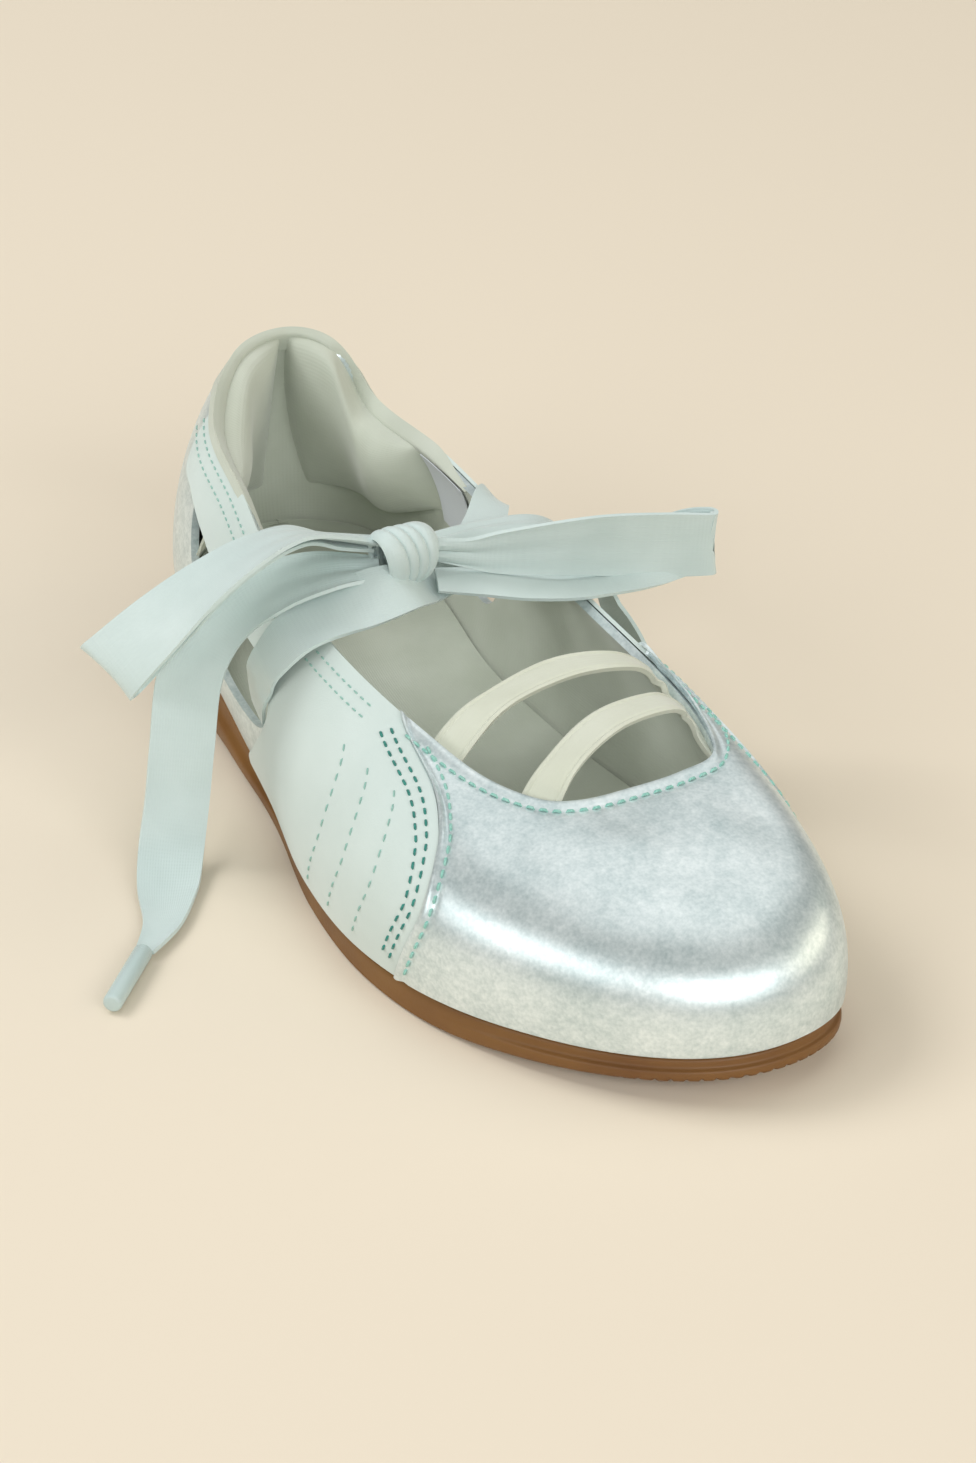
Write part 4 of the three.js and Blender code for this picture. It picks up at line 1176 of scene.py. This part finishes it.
insole = lay_sheet("insole_bed", (140, 30), insole_top, (0.25, 0.08))
thicken(insole, INSOLE_SHEET)
dress(insole, "insole", "lining", LINING)

# %% [markdown]
# A plain cream floor and soft studio light. The key stands high behind the outer side, so that the shadow
# falls softly to the front and the right. It is hidden from reflections, and a broad top light and three
# strips are what the satin mirrors: the one in front makes the bright band where the toe turns down.

# %% Floor and light
def floor_finish():
    f = Finish("studio_paper", Specular_IOR_Level=0.2)
    cloudy = f.noise(f.places(), 3.0, 2.0)
    f.feed("Base Color", f.blend(cloudy, paint("e7dcc9"), paint("e9decb")))
    f.feed("Roughness", cloudy * 0.05 + 0.85)
    return f.material


clean_start()
bpy.ops.mesh.primitive_plane_add(size=8, location=(0, 0, -0.0002))
floor = bpy.context.object
floor.name = "studio_floor"
bpy.ops.object.transform_apply(location=True, rotation=True, scale=True)
floor.data.materials.append(floor_finish())


def softbox(name, place, size, power, colour=(1, 1, 1)):
    clean_start()
    bpy.ops.object.light_add(type="AREA", location=place)
    lamp = bpy.context.object
    lamp.name = name
    lamp.data.shape = "RECTANGLE"
    lamp.data.size, lamp.data.size_y = size
    lamp.data.energy, lamp.data.color = power, colour
    aim = -np.array(place, float)
    flat = math.hypot(aim[0], aim[1])
    lamp.rotation_euler = (math.atan2(flat, -aim[2]), 0, math.atan2(aim[1], aim[0]) - math.pi / 2)
    return lamp


key = softbox("key_softbox", (-1.1, -1.2, 2.0), (1.1, 1.1), 28)
key.visible_glossy = False
softbox("top_softbox", (-0.8, 0.6, 2.5), (2.4, 2.4), 16)
softbox("front_strip", (2.3, 0.0, 1.3), (2.6, 1.0), 38)
softbox("left_strip", (0.6, -2.4, 1.3), (2.4, 0.9), 22)
softbox("right_strip", (0.9, 2.3, 1.1), (2.0, 0.9), 13, (1.0, 0.88, 0.68))
world = bpy.data.worlds.new("studio_world")
bpy.context.scene.world = world
world.use_nodes = True
world.node_tree.nodes["Background"].inputs["Color"].default_value = (1.0, 0.96, 0.87, 1)
world.node_tree.nodes["Background"].inputs["Strength"].default_value = 0.16
bpy.context.scene.view_settings.view_transform = "Standard"
